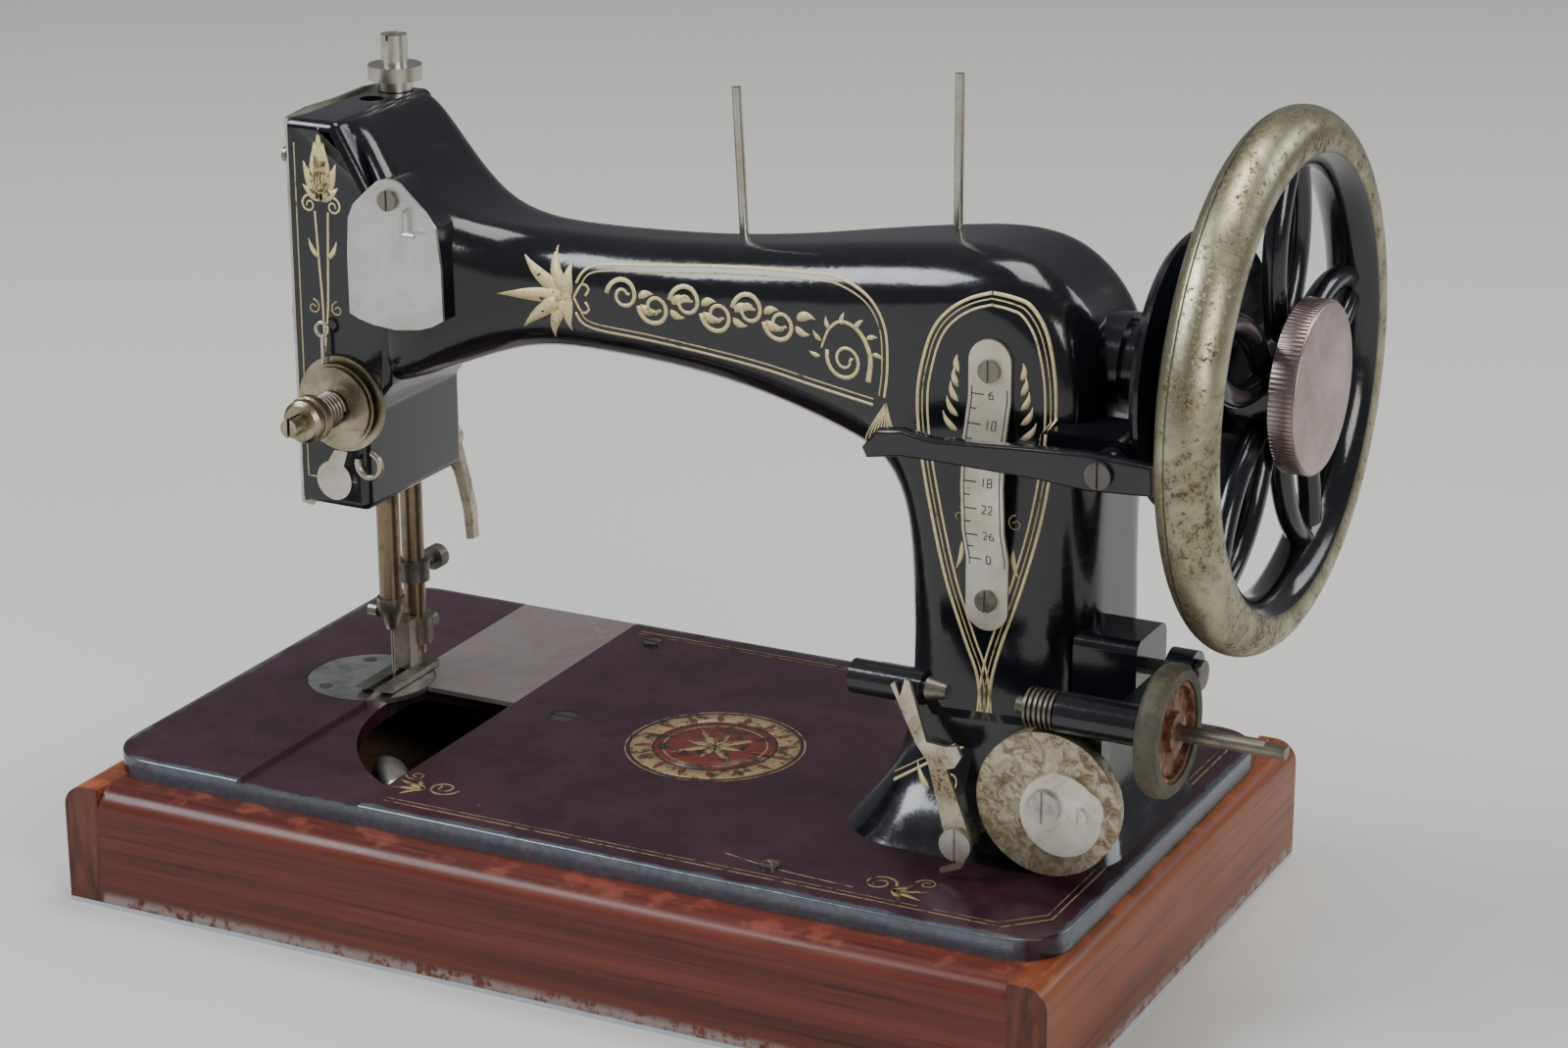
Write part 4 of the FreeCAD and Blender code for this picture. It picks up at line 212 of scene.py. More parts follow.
def rim_plating():
    """The wheel rim's worn nickel: warm on the crown, pitted, with a seam round its inner side."""
    look = Look("rim_nickel")
    low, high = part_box("handwheel_rim")
    hub = (low + high) / 2
    across, up = look.y - hub.y, look.z - hub.z
    radius = (across * across + up * up) ** 0.5
    crown = (high.z - low.z) / 2 - 0.009
    seam = 1.0 - abs(look.x - (low.x + 0.0052)).above(0.0003, 0.0003)
    inner = (crown - 0.0035 - radius).above(0, 0.001)
    cloud = look.noise(42, 8, 0.7, 0.8)
    fine = look.noise(600, 6, 0.78)
    spots = (fine * 0.6 + cloud * 0.4).above(0.555, 0.035)
    colour = look.mix(cloud.above(0.48, 0.14), (0.46, 0.44, 0.31), (0.27, 0.245, 0.15))
    colour = look.mix(spots * 0.85, colour, (0.05, 0.042, 0.025))
    colour = look.mix(inner.largest(seam * 0.75), colour, (0.035, 0.03, 0.026))
    look.bump(fine * 0.8 - spots * 0.9 - seam, 0.3, 0.0005)
    rough = cloud.spread(0.22, 0.48) + spots * 0.25
    return look.set(colour=colour, metal=1.0 - spots * 0.5 - inner * 0.4, rough=rough)


def steel(name, colour, rough=0.3, along=(1, 8, 1)):
    """Bare worked steel: fine drawn lines, grey-brown tarnish."""
    look = Look(name)
    lines = look.noise(300, 4, 0.6, vector=look.stretched(along))
    tarnish = look.noise(85, 6, 0.66)
    dark = tuple(0.42 * part for part in colour)
    tone = look.mix(tarnish.above(0.56, 0.14), colour, dark)
    look.bump(lines, 0.1, 0.0003)
    roughness = lines.spread(rough - 0.08, rough + 0.16) + tarnish.above(0.6, 0.1) * 0.12
    return look.set(colour=tone, metal=0.95, rough=roughness)


def corroded_gear():
    """Mottled nickel of the worm wheel: pale plate eaten by grey-brown blooms."""
    look = Look("gear_nickel")
    bloom = look.noise(240, 7, 0.72, 1.2)
    fine = look.cells(1500)
    colour = look.ramp(bloom, (0.30, (0.08, 0.055, 0.03)), (0.44, (0.26, 0.2, 0.12)),
                       (0.54, (0.50, 0.45, 0.33)), (0.74, (0.70, 0.67, 0.57)))
    look.bump(bloom + fine * 0.4, 0.35, 0.0004)
    metal = bloom.above(0.42, 0.1) * 0.6 + 0.3
    return look.set(colour=colour, metal=metal, rough=bloom.spread(0.66, 0.28))


def wood(name, along, dark, middle, pale, end_faces=False):
    """Varnished hardwood: fine straight grain along one axis, short pores, and a paler top edge that is
    partly rubbed wear and partly a painted highlight.
    """
    look = Look(name)
    scale = (0.05, 1.5, 2.4) if along == "x" else (1.5, 0.05, 2.4)
    grain = look.noise(70, 8, 0.66, 0.25, look.stretched(scale))
    pores = look.noise(520, 3, 0.6, 0.0, look.stretched(tuple(0.5 * part for part in scale)))
    shade = look.noise(9, 3, 0.5, 0.2, look.stretched(scale))
    colour = look.ramp(grain * 0.75 + shade * 0.25, (0.36, dark), (0.50, middle), (0.66, pale))
    colour = look.mix(pores.above(0.60, 0.05) * 0.45, colour, tuple(0.35 * part for part in dark))
    low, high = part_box("base_end_boards")
    # Paler patches along the top edge: partly rubbed wear, partly a painted highlight on the rounded edge;
    # the mask also roughens the varnish there.
    edge = (look.z - (high.z - 0.0015)).above(0, 0.0008)
    rubbed_and_highlit = edge * look.noise(70, 5, 0.6).above(0.56, 0.06)
    colour = look.mix(rubbed_and_highlit * 0.4, colour, tuple(min(1.0, 1.9 * part) for part in pale))
    foot = 1.0 - (look.z - 0.0048).above(0, 0.0016)
    colour = look.mix(foot * look.noise(240, 5, 0.7).above(0.46, 0.08) * 0.7, colour, (0.30, 0.27, 0.25))
    if end_faces:
        front = (low.y + 0.0006 - look.y).above(0, 0.0002)
        rings = look.noise(90, 5, 0.6, 0.5, look.stretched((2.0, 1, 0.35)))
        end_grain = look.ramp(rings, (0.4, (0.05, 0.012, 0.008)), (0.62, (0.125, 0.038, 0.022)))
        colour = look.mix(front, colour, end_grain)
    dents = look.noise(45, 4, 0.6)
    look.bump(grain * 0.3 + pores * 0.2 + dents * 0.35, 0.16, 0.0006)
    rough = dents.spread(0.26, 0.46) + rubbed_and_highlit * 0.1
    return look.set(colour=colour, rough=rough, shine=0.3, coat=0.1, coat_rough=0.15)


def felt():
    """Pale grey-blue felt under the base, napped and pilled."""
    look = Look("felt")
    nap = look.noise(1300, 8, 0.8)
    shade = look.noise(120, 4)
    colour = look.mix(nap * 0.6 + shade * 0.4, (0.30, 0.36, 0.42), (0.66, 0.73, 0.80))
    look.bump(nap, 0.8, 0.001)
    return look.set(colour=colour, rough=0.95, sheen=0.4, sheen_rough=0.5)


def old_rubber():
    """Olive-brown rubber tyre, dusty and slightly crazed."""
    look = Look("tyre_rubber")
    dust = look.noise(130, 6, 0.7)
    crack = look.noise(900, 4, 0.7)
    colour = look.mix(dust.above(0.5, 0.15), (0.028, 0.027, 0.018), (0.085, 0.078, 0.045))
    look.bump(crack, 0.3, 0.0004)
    return look.set(colour=colour, rough=dust.spread(0.5, 0.78))


def rust(name="rusty_steel"):
    """Steel under a film of brown rust."""
    look = Look(name)
    bloom = look.noise(330, 7, 0.7)
    colour = look.ramp(bloom, (0.35, (0.05, 0.022, 0.013)), (0.55, (0.19, 0.085, 0.045)),
                       (0.72, (0.36, 0.27, 0.2)))
    look.bump(bloom, 0.4, 0.0004)
    return look.set(colour=colour, metal=0.45, rough=bloom.spread(0.72, 0.4))


def gilding(name, colour, thin=0.5):
    """Gold transfer under varnish, rubbed away in places to the black beneath."""
    look = Look(name)
    worn = look.noise(210, 6, 0.7).above(thin, 0.05)
    fine = look.noise(1100, 3, 0.6)
    tone = look.mix(fine.above(0.5, 0.2), colour, tuple(0.72 * part for part in colour))
    tone = look.mix(worn * 0.9, tone, (0.012, 0.010, 0.010))
    return look.set(colour=tone, metal=0.15, rough=0.42 + fine * 0.1, coat=0.15, coat_rough=0.1)


LOOKS = {
    "japan": japanning(),
    "japan_parts": japanning("japan_parts", (0.010, 0.010, 0.013), 0.7),
    "bed": bed_finish(),
    "nickel": plating("nickel", (0.60, 0.59, 0.56), (0.46, 0.41, 0.32), pits=0.45),
    "cover_nickel": plating("cover_nickel", (0.66, 0.66, 0.66), (0.55, 0.54, 0.5),
                            pits=0.12, gloss=0.3),
    "scale_nickel": plating("scale_nickel", (0.80, 0.78, 0.70), (0.66, 0.61, 0.48),
                            pits=0.25, gloss=0.42),
    "tension_nickel": plating("tension_nickel", (0.42, 0.38, 0.28), (0.23, 0.19, 0.11),
                              pits=0.6, gloss=0.24, scale=1.4),
    "knob_nickel": plating("knob_nickel", (0.46, 0.38, 0.37), (0.36, 0.28, 0.26),
                           pits=0.35, gloss=0.26),
    "slide_nickel": plating("slide_nickel", (0.66, 0.60, 0.60), (0.50, 0.40, 0.38),
                            pits=0.35, gloss=0.34),
    "stained_nickel": plating("stained_nickel", (0.62, 0.58, 0.48), (0.36, 0.29, 0.19),
                              pits=0.8, gloss=0.3, scale=1.6),
    "spotted_cam": plating("spotted_cam", (0.74, 0.73, 0.69), (0.64, 0.60, 0.5),
                           pits=0.55, gloss=0.34, scale=2.2),
    "rim": rim_plating(),
    "steel": steel("steel", (0.52, 0.50, 0.47)),
    "plate_steel": steel("plate_steel", (0.50, 0.50, 0.49), 0.26, (7, 1, 1)),
    "brown_brass": steel("brown_brass", (0.23, 0.175, 0.115), 0.26, (8, 8, 0.3)),
    "dark_steel": steel("dark_steel", (0.17, 0.16, 0.15), 0.38),
    "old_steel": steel("old_steel", (0.25, 0.23, 0.19), 0.34),
    "cast_iron": steel("bare_iron", (0.20, 0.19, 0.18), 0.5),
    "gear": corroded_gear(),
    "rust": rust(),
    "rubber": old_rubber(),
    "felt": felt(),
    "long_wood": wood("long_wood", "x", (0.062, 0.013, 0.010), (0.110, 0.024, 0.017),
                      (0.165, 0.042, 0.027)),
    # End boards: the warmer tone is the wood's own; the extra brightness over the side boards is painted
    # light falling on the ends.
    "lit_end_wood": wood("lit_end_wood", "y", (0.095, 0.022, 0.009), (0.175, 0.045, 0.017),
                     (0.24, 0.072, 0.027), end_faces=True),
    "inner_wood": wood("inner_wood", "x", (0.2, 0.13, 0.08), (0.32, 0.22, 0.13), (0.42, 0.31, 0.2)),
    "gold": gilding("gold_line", (0.82, 0.68, 0.36), 0.66),
    "gold_faint": gilding("gold_faint", (0.60, 0.48, 0.24), 0.60),
    "bed_gold": gilding("bed_gold", (0.36, 0.25, 0.12), 0.54),
    "red_gold": gilding("red_gold", (0.17, 0.030, 0.018), 0.56),
    "ink": japanning("dial_ink", (0.02, 0.018, 0.016), 0.3),
}

NODE_LOOKS = {
    "arm_casting": "japan", "bed_plate": "bed", "handwheel": "japan",
    "winder_frame": "japan_parts", "stitch_lever": "japan_parts", "bobbin_centre": "old_steel",
    "handwheel_rim": "rim", "face_plate": "nickel", "head_cover_plate": "cover_nickel",
    "stitch_scale": "scale_nickel", "clutch_knob": "knob_nickel",
    "guide_lever": "stained_nickel", "heart_cam": "spotted_cam", "worm_wheel": "gear",
    "presser_lifter": "stained_nickel", "pressure_screw": "nickel",
    "tension_discs": "tension_nickel", "tension_nut": "tension_nickel",
    "thread_guides": "nickel", "take_up_lever": "stained_nickel", "friction_wheel": "rust",
    "winder_spindle": "old_steel", "rear_cover": "cover_nickel", "case_screws": "old_steel",
    "pivot_screws": "dark_steel", "needle_plate": "plate_steel",
    "rear_slide_plate": "slide_nickel", "main_shaft": "steel", "needle": "steel",
    "needle_clamp": "old_steel", "needle_clamp_screw": "old_steel", "presser_foot": "old_steel",
    "presser_bar_knobs": "dark_steel", "winder_screws": "steel",
    "tension_stud": "tension_nickel", "tension_spring": "old_steel", "presser_spring": "steel",
    "spool_pins": "nickel", "shuttle": "steel", "bobbin": "steel", "feed_dog": "steel",
    "feed_bar": "steel", "arm_bolts": "dark_steel", "needle_crank": "steel",
    "needle_bar_link": "steel", "shaft_eccentrics": "steel", "needle_bar": "brown_brass",
    "presser_bar": "brown_brass", "shaft_bushes": "japan",
    "shuttle_connecting_rod": "cast_iron", "feed_connecting_rod": "cast_iron",
    "shuttle_rock_shaft": "cast_iron", "feed_rock_shaft": "cast_iron",
    "shuttle_carrier": "cast_iron", "base_side_boards": "long_wood",
    "base_end_boards": "lit_end_wood", "base_cleats": "inner_wood",
    "base_bottom_panel": "inner_wood", "base_felt": "felt", "rubber_tyre": "rubber",
}


def dress(node, look):
    """Give a frame node its finish and smooth shading between its sharp edges."""
    mesh = node.data
    mesh.materials.clear()
    mesh.materials.append(LOOKS[look])
    mesh.polygons.foreach_set("use_smooth", [True] * len(mesh.polygons))
    weld = node.modifiers.new("weld", "WELD")
    weld.merge_threshold = 1e-6
    split = node.modifiers.new("split", "EDGE_SPLIT")
    split.split_angle = math.radians(28)


for name, look in NODE_LOOKS.items():
    dress(NODES[name], look)

# ---------------------------------------------------------------- modelling by hand


def deselect():
    for item in bpy.context.selected_objects:
        item.select_set(False)


def activate(item):
    deselect()
    item.select_set(True)
    bpy.context.view_layer.objects.active = item


def settle(item, name, look, body):
    """Name a new piece, put its place in its mesh, and let it ride on its body."""
    activate(item)
    bpy.ops.object.transform_apply(location=True, rotation=True, scale=True)
    item.name = name
    item.data.materials.clear()
    item.data.materials.append(LOOKS[look])
    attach(item, body)
    return item


def apply_all(item):
    activate(item)
    for modifier in list(item.modifiers):
        bpy.ops.object.modifier_apply(modifier=modifier.name)


def select_faces(item, wanted):
    """Select in edit mode the faces that pass a test of centre and normal."""
    bpy.ops.object.mode_set(mode="EDIT")
    bpy.ops.mesh.select_all(action="DESELECT")
    bpy.ops.object.mode_set(mode="OBJECT")
    for number, face in enumerate(item.data.polygons):
        face.select = wanted(number, face.center, face.normal)
    bpy.ops.object.mode_set(mode="EDIT")
    bpy.ops.mesh.select_mode(type="FACE")


def ridged_disc(radius, thick, ridges, height, centre, axis, bevel=0.0):
    """A disc whose edge has fine ridges: knurls or gear teeth."""
    deselect()
    bpy.ops.mesh.primitive_cylinder_add(vertices=2 * ridges, radius=radius - height, depth=thick)
    disc = bpy.context.active_object
    sides = [face.index for face in disc.data.polygons if abs(face.normal.z) < 0.5]
    middles = {n: disc.data.polygons[n].center.copy() for n in sides}
    order = sorted(sides, key=lambda n: math.atan2(middles[n].y, middles[n].x))
    raised = set(order[::2])
    select_faces(disc, lambda n, centre, normal: n in raised)
    bpy.ops.mesh.extrude_region_shrink_fatten(TRANSFORM_OT_shrink_fatten={"value": height})
    bpy.ops.object.mode_set(mode="OBJECT")
    if bevel:
        cap = disc.modifiers.new("bevel", "BEVEL")
        cap.width, cap.segments, cap.limit_method = bevel, 2, "ANGLE"
        cap.angle_limit = math.radians(60)
        apply_all(disc)
    turn = {"x": (0, math.pi / 2, 0), "y": (math.pi / 2, 0, 0), "z": (0, 0, 0)}[axis]
    disc.rotation_euler = turn
    disc.location = centre
    return disc


# ---------------------------------------------------------------- gilded ornament


class Ornament:
    """Strokes drawn in a plane, then laid on a curved surface as thin gilded ribbons."""

    def __init__(self):
        self.strokes = []

    def stroke(self, points, width, taper=(1, 1)):
        count = max(1, len(points) - 1)
        widths = [width * (taper[0] + (taper[1] - taper[0]) * n / count) for n in range(len(points))]
        self.strokes.append((points, widths))

    def line(self, points, width, step=1.2):
        """A polyline divided finely enough to follow the surface."""
        fine = [points[0]]
        for (ax, ay), (bx, by) in zip(points, points[1:]):
            count = max(1, int(math.hypot(bx - ax, by - ay) / step))
            fine += [(ax + (bx - ax) * n / count, ay + (by - ay) * n / count) for n in range(1, count + 1)]
        self.stroke(fine, width)

    def curve(self, points, width, taper=(1, 1), inset=0.0, mirror=None):
        """A smooth line through points, moved to its left by the inset or mirrored about an axis."""
        if mirror is not None:
            points = [(2 * mirror - x, y) for x, y in points]
        path = [points[0], *points, points[-1]]
        smooth = []
        for (ax, ay), (bx, by), (cx, cy), (dx, dy) in zip(path, path[1:], path[2:], path[3:]):
            count = max(2, int(math.hypot(cx - bx, cy - by) / 1.1))
            for n in range(count):
                t = n / count
                blend = ((2 - t) * t * t - t, (3 * t - 5) * t * t + 2,
                         ((4 - 3 * t) * t + 1) * t, (t - 1) * t * t)
                smooth.append(tuple(0.5 * sum(b * v for b, v in zip(blend, each))
                                    for each in ((ax, bx, cx, dx), (ay, by, cy, dy))))
        smooth.append(points[-1])
        if inset:
            moved = []
            for n, (x, y) in enumerate(smooth):
                (px, py), (qx, qy) = smooth[max(0, n - 1)], smooth[min(len(smooth) - 1, n + 1)]
                run = math.hypot(qx - px, qy - py) or 1.0
                moved.append((x - inset * (qy - py) / run, y + inset * (qx - px) / run))
            smooth = moved
        self.stroke(smooth, width, taper)

    def arc(self, centre, radius, start, end, width, taper=(1, 1)):
        count = max(4, int(abs(end - start) / 8) + int(radius * abs(end - start) / 120))
        angles = [math.radians(start + (end - start) * n / count) for n in range(count + 1)]
        points = [(centre[0] + radius * math.cos(a), centre[1] + radius * math.sin(a)) for a in angles]
        self.stroke(points, width, taper)

    def scroll(self, centre, radius, start, turns, width, side=1):
        """A spiral that winds in from its radius and ends in a small bud."""
        count = int(20 * turns)
        points, end = [], 0.22 * radius
        for n in range(count + 1):
            share = n / count
            reach = radius + (end - radius) * share ** 0.8
            angle = math.radians(start + side * 360 * turns * share)
            points.append((centre[0] + reach * math.cos(angle), centre[1] + reach * math.sin(angle)))
        self.stroke(points, width, (1, 0.55))
        self.leaf(points[-1], 0.22 * radius, 0.16 * radius, start + side * 360 * turns)

    def leaf(self, root, length, width, angle, bend=0.0):
        """A pointed leaf; bend curls its tip to one side."""
        points, widths = [], []
        for n in range(9):
            share = n / 8
            turn = math.radians(angle + bend * share)
            reach = length * share
            points.append((root[0] + reach * math.cos(turn), root[1] + reach * math.sin(turn)))
            widths.append(width * max(0.06, math.sin(math.pi * share ** 0.75)))
        self.strokes.append((points, widths))

    def fan(self, root, length, width, middle, spread, count, bend=0.0):
        """A palmette: leaves that fan out of one root, the middle one longest."""
        for n in range(count):
            share = 2 * n / (count - 1) - 1
            self.leaf(root, length * (1 - 0.35 * abs(share)), width, middle + spread * share, bend * share)

    def vine(self, start, end, radius, count, width):
        """A running vine: scrolls that curl to alternate sides of a line, with a leaf at each."""
        run, rise = (end[0] - start[0]) / count, (end[1] - start[1]) / count
        for n in range(count):
            side = 1 if n % 2 else -1
            x, y = start[0] + run * (n + 0.5), start[1] + rise * (n + 0.5)
            self.scroll((x, y - side * 0.25 * radius), radius, 180, 1.45, width, side)
            upper, lower = (x + 0.55 * run, y + side * 0.1 * radius), (x + 0.5 * run, y - side * 0.2 * radius)
            self.leaf(upper, radius * 1.1, width * 2.0, side * 58, -side * 46)
            self.leaf(lower, radius * 0.9, width * 1.6, -side * 60, side * 40)

    def make(self, name, place, target, look, body, reach=60, lift=0.07, slot="japanned_iron"):
        """Turn the strokes to a mesh, lay it on the target and give it a film's thickness.

        The place's plane may stand reach mm off the target, and the film lies lift mm above it.
        """
        curve = bpy.data.curves.new(name, "CURVE")
        curve.dimensions = "3D"
        curve.twist_mode = "Z_UP"
        curve.extrude = 0.5 * MM
        for points, widths in self.strokes:
            spline = curve.splines.new("POLY")
            spline.points.add(len(points) - 1)
            for point, (u, v), width in zip(spline.points, points, widths):
                point.co = (u * MM, v * MM, 0, 1)
                point.radius = width
                point.tilt = math.pi / 2
        drawn = bpy.data.objects.new(name, curve)
        bpy.context.scene.collection.objects.link(drawn)
        activate(drawn)
        bpy.ops.object.convert(target="MESH")
        sheet = bpy.context.active_object
        sheet.data.transform(place)
        normal = place.to_3x3() @ Vector((0, 0, 1))
        wrap = sheet.modifiers.new("wrap", "SHRINKWRAP")
        wrap.target, wrap.wrap_method = target, "PROJECT"
        facing = [abs(part) > 0.5 for part in normal]
        wrap.use_project_x, wrap.use_project_y, wrap.use_project_z = facing
        wrap.use_negative_direction = wrap.use_positive_direction = True
        wrap.project_limit = reach * MM
        wrap.wrap_mode = "ABOVE_SURFACE"
        wrap.offset = lift * MM
        film = sheet.modifiers.new("film", "SOLIDIFY")
        film.thickness = GILT_THICK
        film.offset = 0
        apply_all(sheet)
        sheet.data.polygons.foreach_set("use_smooth", [True] * len(sheet.data.polygons))
        return settle(sheet, name, look, body)


# The plane y = -50 mm, seen from the front: across is x and up is z.
FRONT = Matrix(((1, 0, 0, 0), (0, 0, -1, -0.05), (0, 1, 0, 0), (0, 0, 0, 1)))


def arm_ornament():
    """Double-lined frame along the arm's front, a running vine inside it, palmette and crescent."""
    gold, faint = Ornament(), Ornament()
    upper = [(-29.2, 198.0), (-23.9, 203.6), (-3.5, 206.0), (29.8, 209.4), (50, 211), (62.3, 211.4),
             (73.5, 207.4), (78.9, 199.2), (79.9, 187.3), (79.0, 178.2)]
    lower = [(-29.4, 188.7), (-24.4, 184.4), (-3.9, 183.0), (16.3, 181.6), (36.2, 180.0), (52.6, 177.9),
             (65.6, 176.4), (75.2, 175.4)]
    for drawn, inset, width in ((gold, 0.0, 0.85), (faint, 1.8, 0.5)):
        drawn.curve(upper, width, inset=-inset)
        drawn.curve(lower, width, inset=inset)
    gold.vine((-18, 194.6), (48, 196.4), 5.9, 6, 1.5)
    root = (-31, 193.4)
    gold.leaf(root, 24, 4.6, 182)
    for side in (1, -1):
        gold.leaf(root, 20, 4.6, 180 - side * 20, -side * 14)
        gold.leaf(root, 16, 4.2, 180 - side * 41, -side * 22)
        gold.leaf(root, 11, 3.4, 180 - side * 66, -side * 22)
        hook = [(-30, 193.4), (-27, 193.4 + side * 4.6), (-24.6, 193.4 + side * 3.2), (-26, 193.4 + side)]
        gold.curve(hook, 0.8)
    gold.scroll((65.4, 187.4), 6.8, 160, 1.6, 1.3, 1)
    gold.curve([(57.0, 189.9), (59.6, 196), (64, 199), (70, 197), (74, 190), (73.4, 182)], 1.5, (0.4, 1.2))
    for n in range(7):
        angle = 190 - 30 * n
        turn = math.radians(angle)
        gold.leaf((65.6 + 9.2 * math.cos(turn), 189 + 9.2 * math.sin(turn)), 4.0, 1.5, angle, -24)
    for n in range(9):
        gold.line([(79.6, 176.6), (70.4 + 1.7 * n, 164.5 - 0.5 * abs(n - 4))], 0.45)
    return gold, faint


def pillar_ornament():
    """Pointed triple arch round the stitch scale, wings of leaves, and scrolls on the foot."""
    gold, faint = Ornament(), Ornament()
    left = [(112.9, 214.2), (106.8, 212.2), (100.6, 208.3), (95.6, 202.6), (92.4, 194.5), (90.2, 182),
            (91.2, 167), (95, 146.3), (100, 125.7), (106.2, 108.2), (110.6, 96.6), (112.2, 84)]
    right = [(113.3, 214.2), (119.4, 213.4), (125.1, 211.0), (130.6, 203), (133.8, 188.7), (133.6, 170),
             (130.0, 147.5), (124.4, 126.4), (118.6, 109.1), (115.4, 97), (114.2, 84)]
    for path, side in ((left, 1), (right, -1)):
        for drawn, inset, width in ((gold, 0.0, 0.95), (faint, 1.6, 0.45), (gold, 3.3, 0.7)):
            drawn.curve(path, width, inset=side * inset)
    for axis, side in ((102.0, -1), (124.6, 1)):
        for n in range(5):
            lean = 90 - side * (74 - 9 * n)
            gold.leaf((axis - side * 1.5, 172 + 4.4 * n), 7.4 - 0.5 * n, 1.9, lean, side * 32)
        gold.scroll((axis, 166), 3.4, 90, 1.3, 0.6, side)
        faint.scroll((axis - side * 2.4, 146), 2.8, 90, 1.2, 0.45, side)
        gold.leaf((axis - side * 3, 138), 9, 1.5, -90 - side * 8, side * 20)
    for side in (-1, 1):
        foot = [(113.7 + side * 1.2, 84), (113.7 + side * 5, 75.4), (113.7 + side * 16, 68.4),
                (113.7 + side * 29, 59.6)]
        gold.curve(foot, 0.8)
        faint.curve(foot, 0.4, inset=side * 1.8)
        gold.scroll((113.7 + side * 9.5, 63.6), 4.6, 100, 1.5, 0.75, -side)
        gold.leaf((113.7 + side * 2, 60), 9, 1.9, 90 - side * 20, side * 16)
        gold.leaf((113.7 + side * 15, 61), 9, 1.7, 90 - side * 66, side * 22)
    gold.leaf((113.7, 59), 17, 2.4, 90)
    return gold, faint


def head_ornament():
    """Palmette and double stem down the head's narrow front, with scrolls round the tension."""
    gold, faint = Ornament(), Ornament()
    axis = -110.2
    gold.leaf((axis, 218.5), 23, 4.6, 90)
    for side in (-1, 1):
        gold.leaf((axis, 218.5), 18.5, 4.6, 90 - side * 15, side * 10)
        gold.leaf((axis, 218.5), 13.5, 4.0, 90 - side * 34, side * 8)
        gold.leaf((axis, 218.5), 8.0, 3.0, 90 - side * 62, side * 8)
        gold.scroll((axis + side * 4.4, 217), 3.0, 90, 1.3, 0.75, -side)
        stem = [(axis + side * 2.4, 215), (axis + side * 1.7, 200), (axis + side * 0.9, 184),
                (axis - 1.0, 169.3)]
        gold.curve(stem, 0.7)
        gold.leaf((axis + side * 1.6, 200), 7, 1.6, 90 - side * 50, side * 20)
        faint.scroll((axis + side * 4.4, 184), 2.6, 90, 1.2, 0.5, side)
    faint.line([(-119.3, 236), (-119.3, 128), (-101.5, 128)], 0.45)
    return gold, faint


for part, drawing in (("arm", arm_ornament()), ("pillar", pillar_ornament()), ("head", head_ornament())):
    for tone, look, ornament in (("gold", "gold", drawing[0]), ("faint", "gold_faint", drawing[1])):
        ornament.make(f"{part}_ornament_{tone}", FRONT, NODES["arm_casting"], look, "frame")


def bed_ornament():
    """Ringed medallion with a star, scrolls and thin border lines on the bed."""
    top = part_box("bed_plate")[1].z
    place = Matrix.Translation((0, 0, top + 0.002))
    gold, red, star = Ornament(), Ornament(), Ornament()
    centre = (9.2, 1.5)
    gold.arc(centre, 23.6, 0, 360, 7.0)
    gold.arc(centre, 28.6, 0, 360, 0.6)
    red.arc(centre, 9.8, 0, 360, 19.4)
    for n in range(16):
        angle = 22.5 * n
        turn = math.radians(angle)
        root = (centre[0] + 20.4 * math.cos(turn), centre[1] + 20.4 * math.sin(turn))
        star.leaf(root, 6.2, 2.4, angle, 12)
    rays = Ornament()
    rays.arc(centre, 16.6, 0, 360, 0.6)
    for n in range(8):
        rays.leaf(centre, 14.5 if n % 2 else 10, 3.0, 45 * n)
    for x, y, spin in ((101, -70, 1), (-50, -66, -1)):
        gold.scroll((x, y), 5.5, 0, 1.6, 0.9, spin)
        gold.fan((x + 5 * spin, y - 3), 13, 2.0, 90 - 90 * spin, 34, 4, 16)
        gold.scroll((x + 13 * spin, y + 5), 3.6, 180, 1.3, 0.6, -spin)
    for inset, width in ((7.0, 0.5), (9.2, 0.3)):
        border = [(-62, inset - 89), (152 - inset, inset - 89), (163 - inset, inset - 78),
                  (163 - inset, 78 - inset)]
        gold.line(border, width)
        gold.line([(-62, 89 - inset), (150, 89 - inset)], width)
    gold.curve([(50.6, -70.9), (70, -74.6), (95.3, -76.2)], 0.5)
    for layer, look, lift in ((gold, "bed_gold", 0.07), (red, "red_gold", 0.07), (star, "red_gold", 0.16),
                              (rays, "bed_gold", 0.16)):
        name = f"bed_ornament_{('base', 'star')[lift > 0.1]}_{look}"
        layer.make(name, place, NODES["bed_plate"], look, "frame", 4, lift)


# Strokes of each figure on a grid two wide and four high.
DIGITS = {
    "0": "0,0 2,0 2,4 0,4 0,0",
    "1": "1,0 1,4",
    "2": "0,4 2,4 2,2.2 0,0 2,0",
    "4": "1.6,0 1.6,4 0,1.3 2.2,1.3",
    "6": "2,4 0,2.4 0,0 2,0 2,2 0,2",
    "8": "0,2.1 0,0 2,0 2,2.1 0,2.1 0,4 2,4 2,2.1",
}


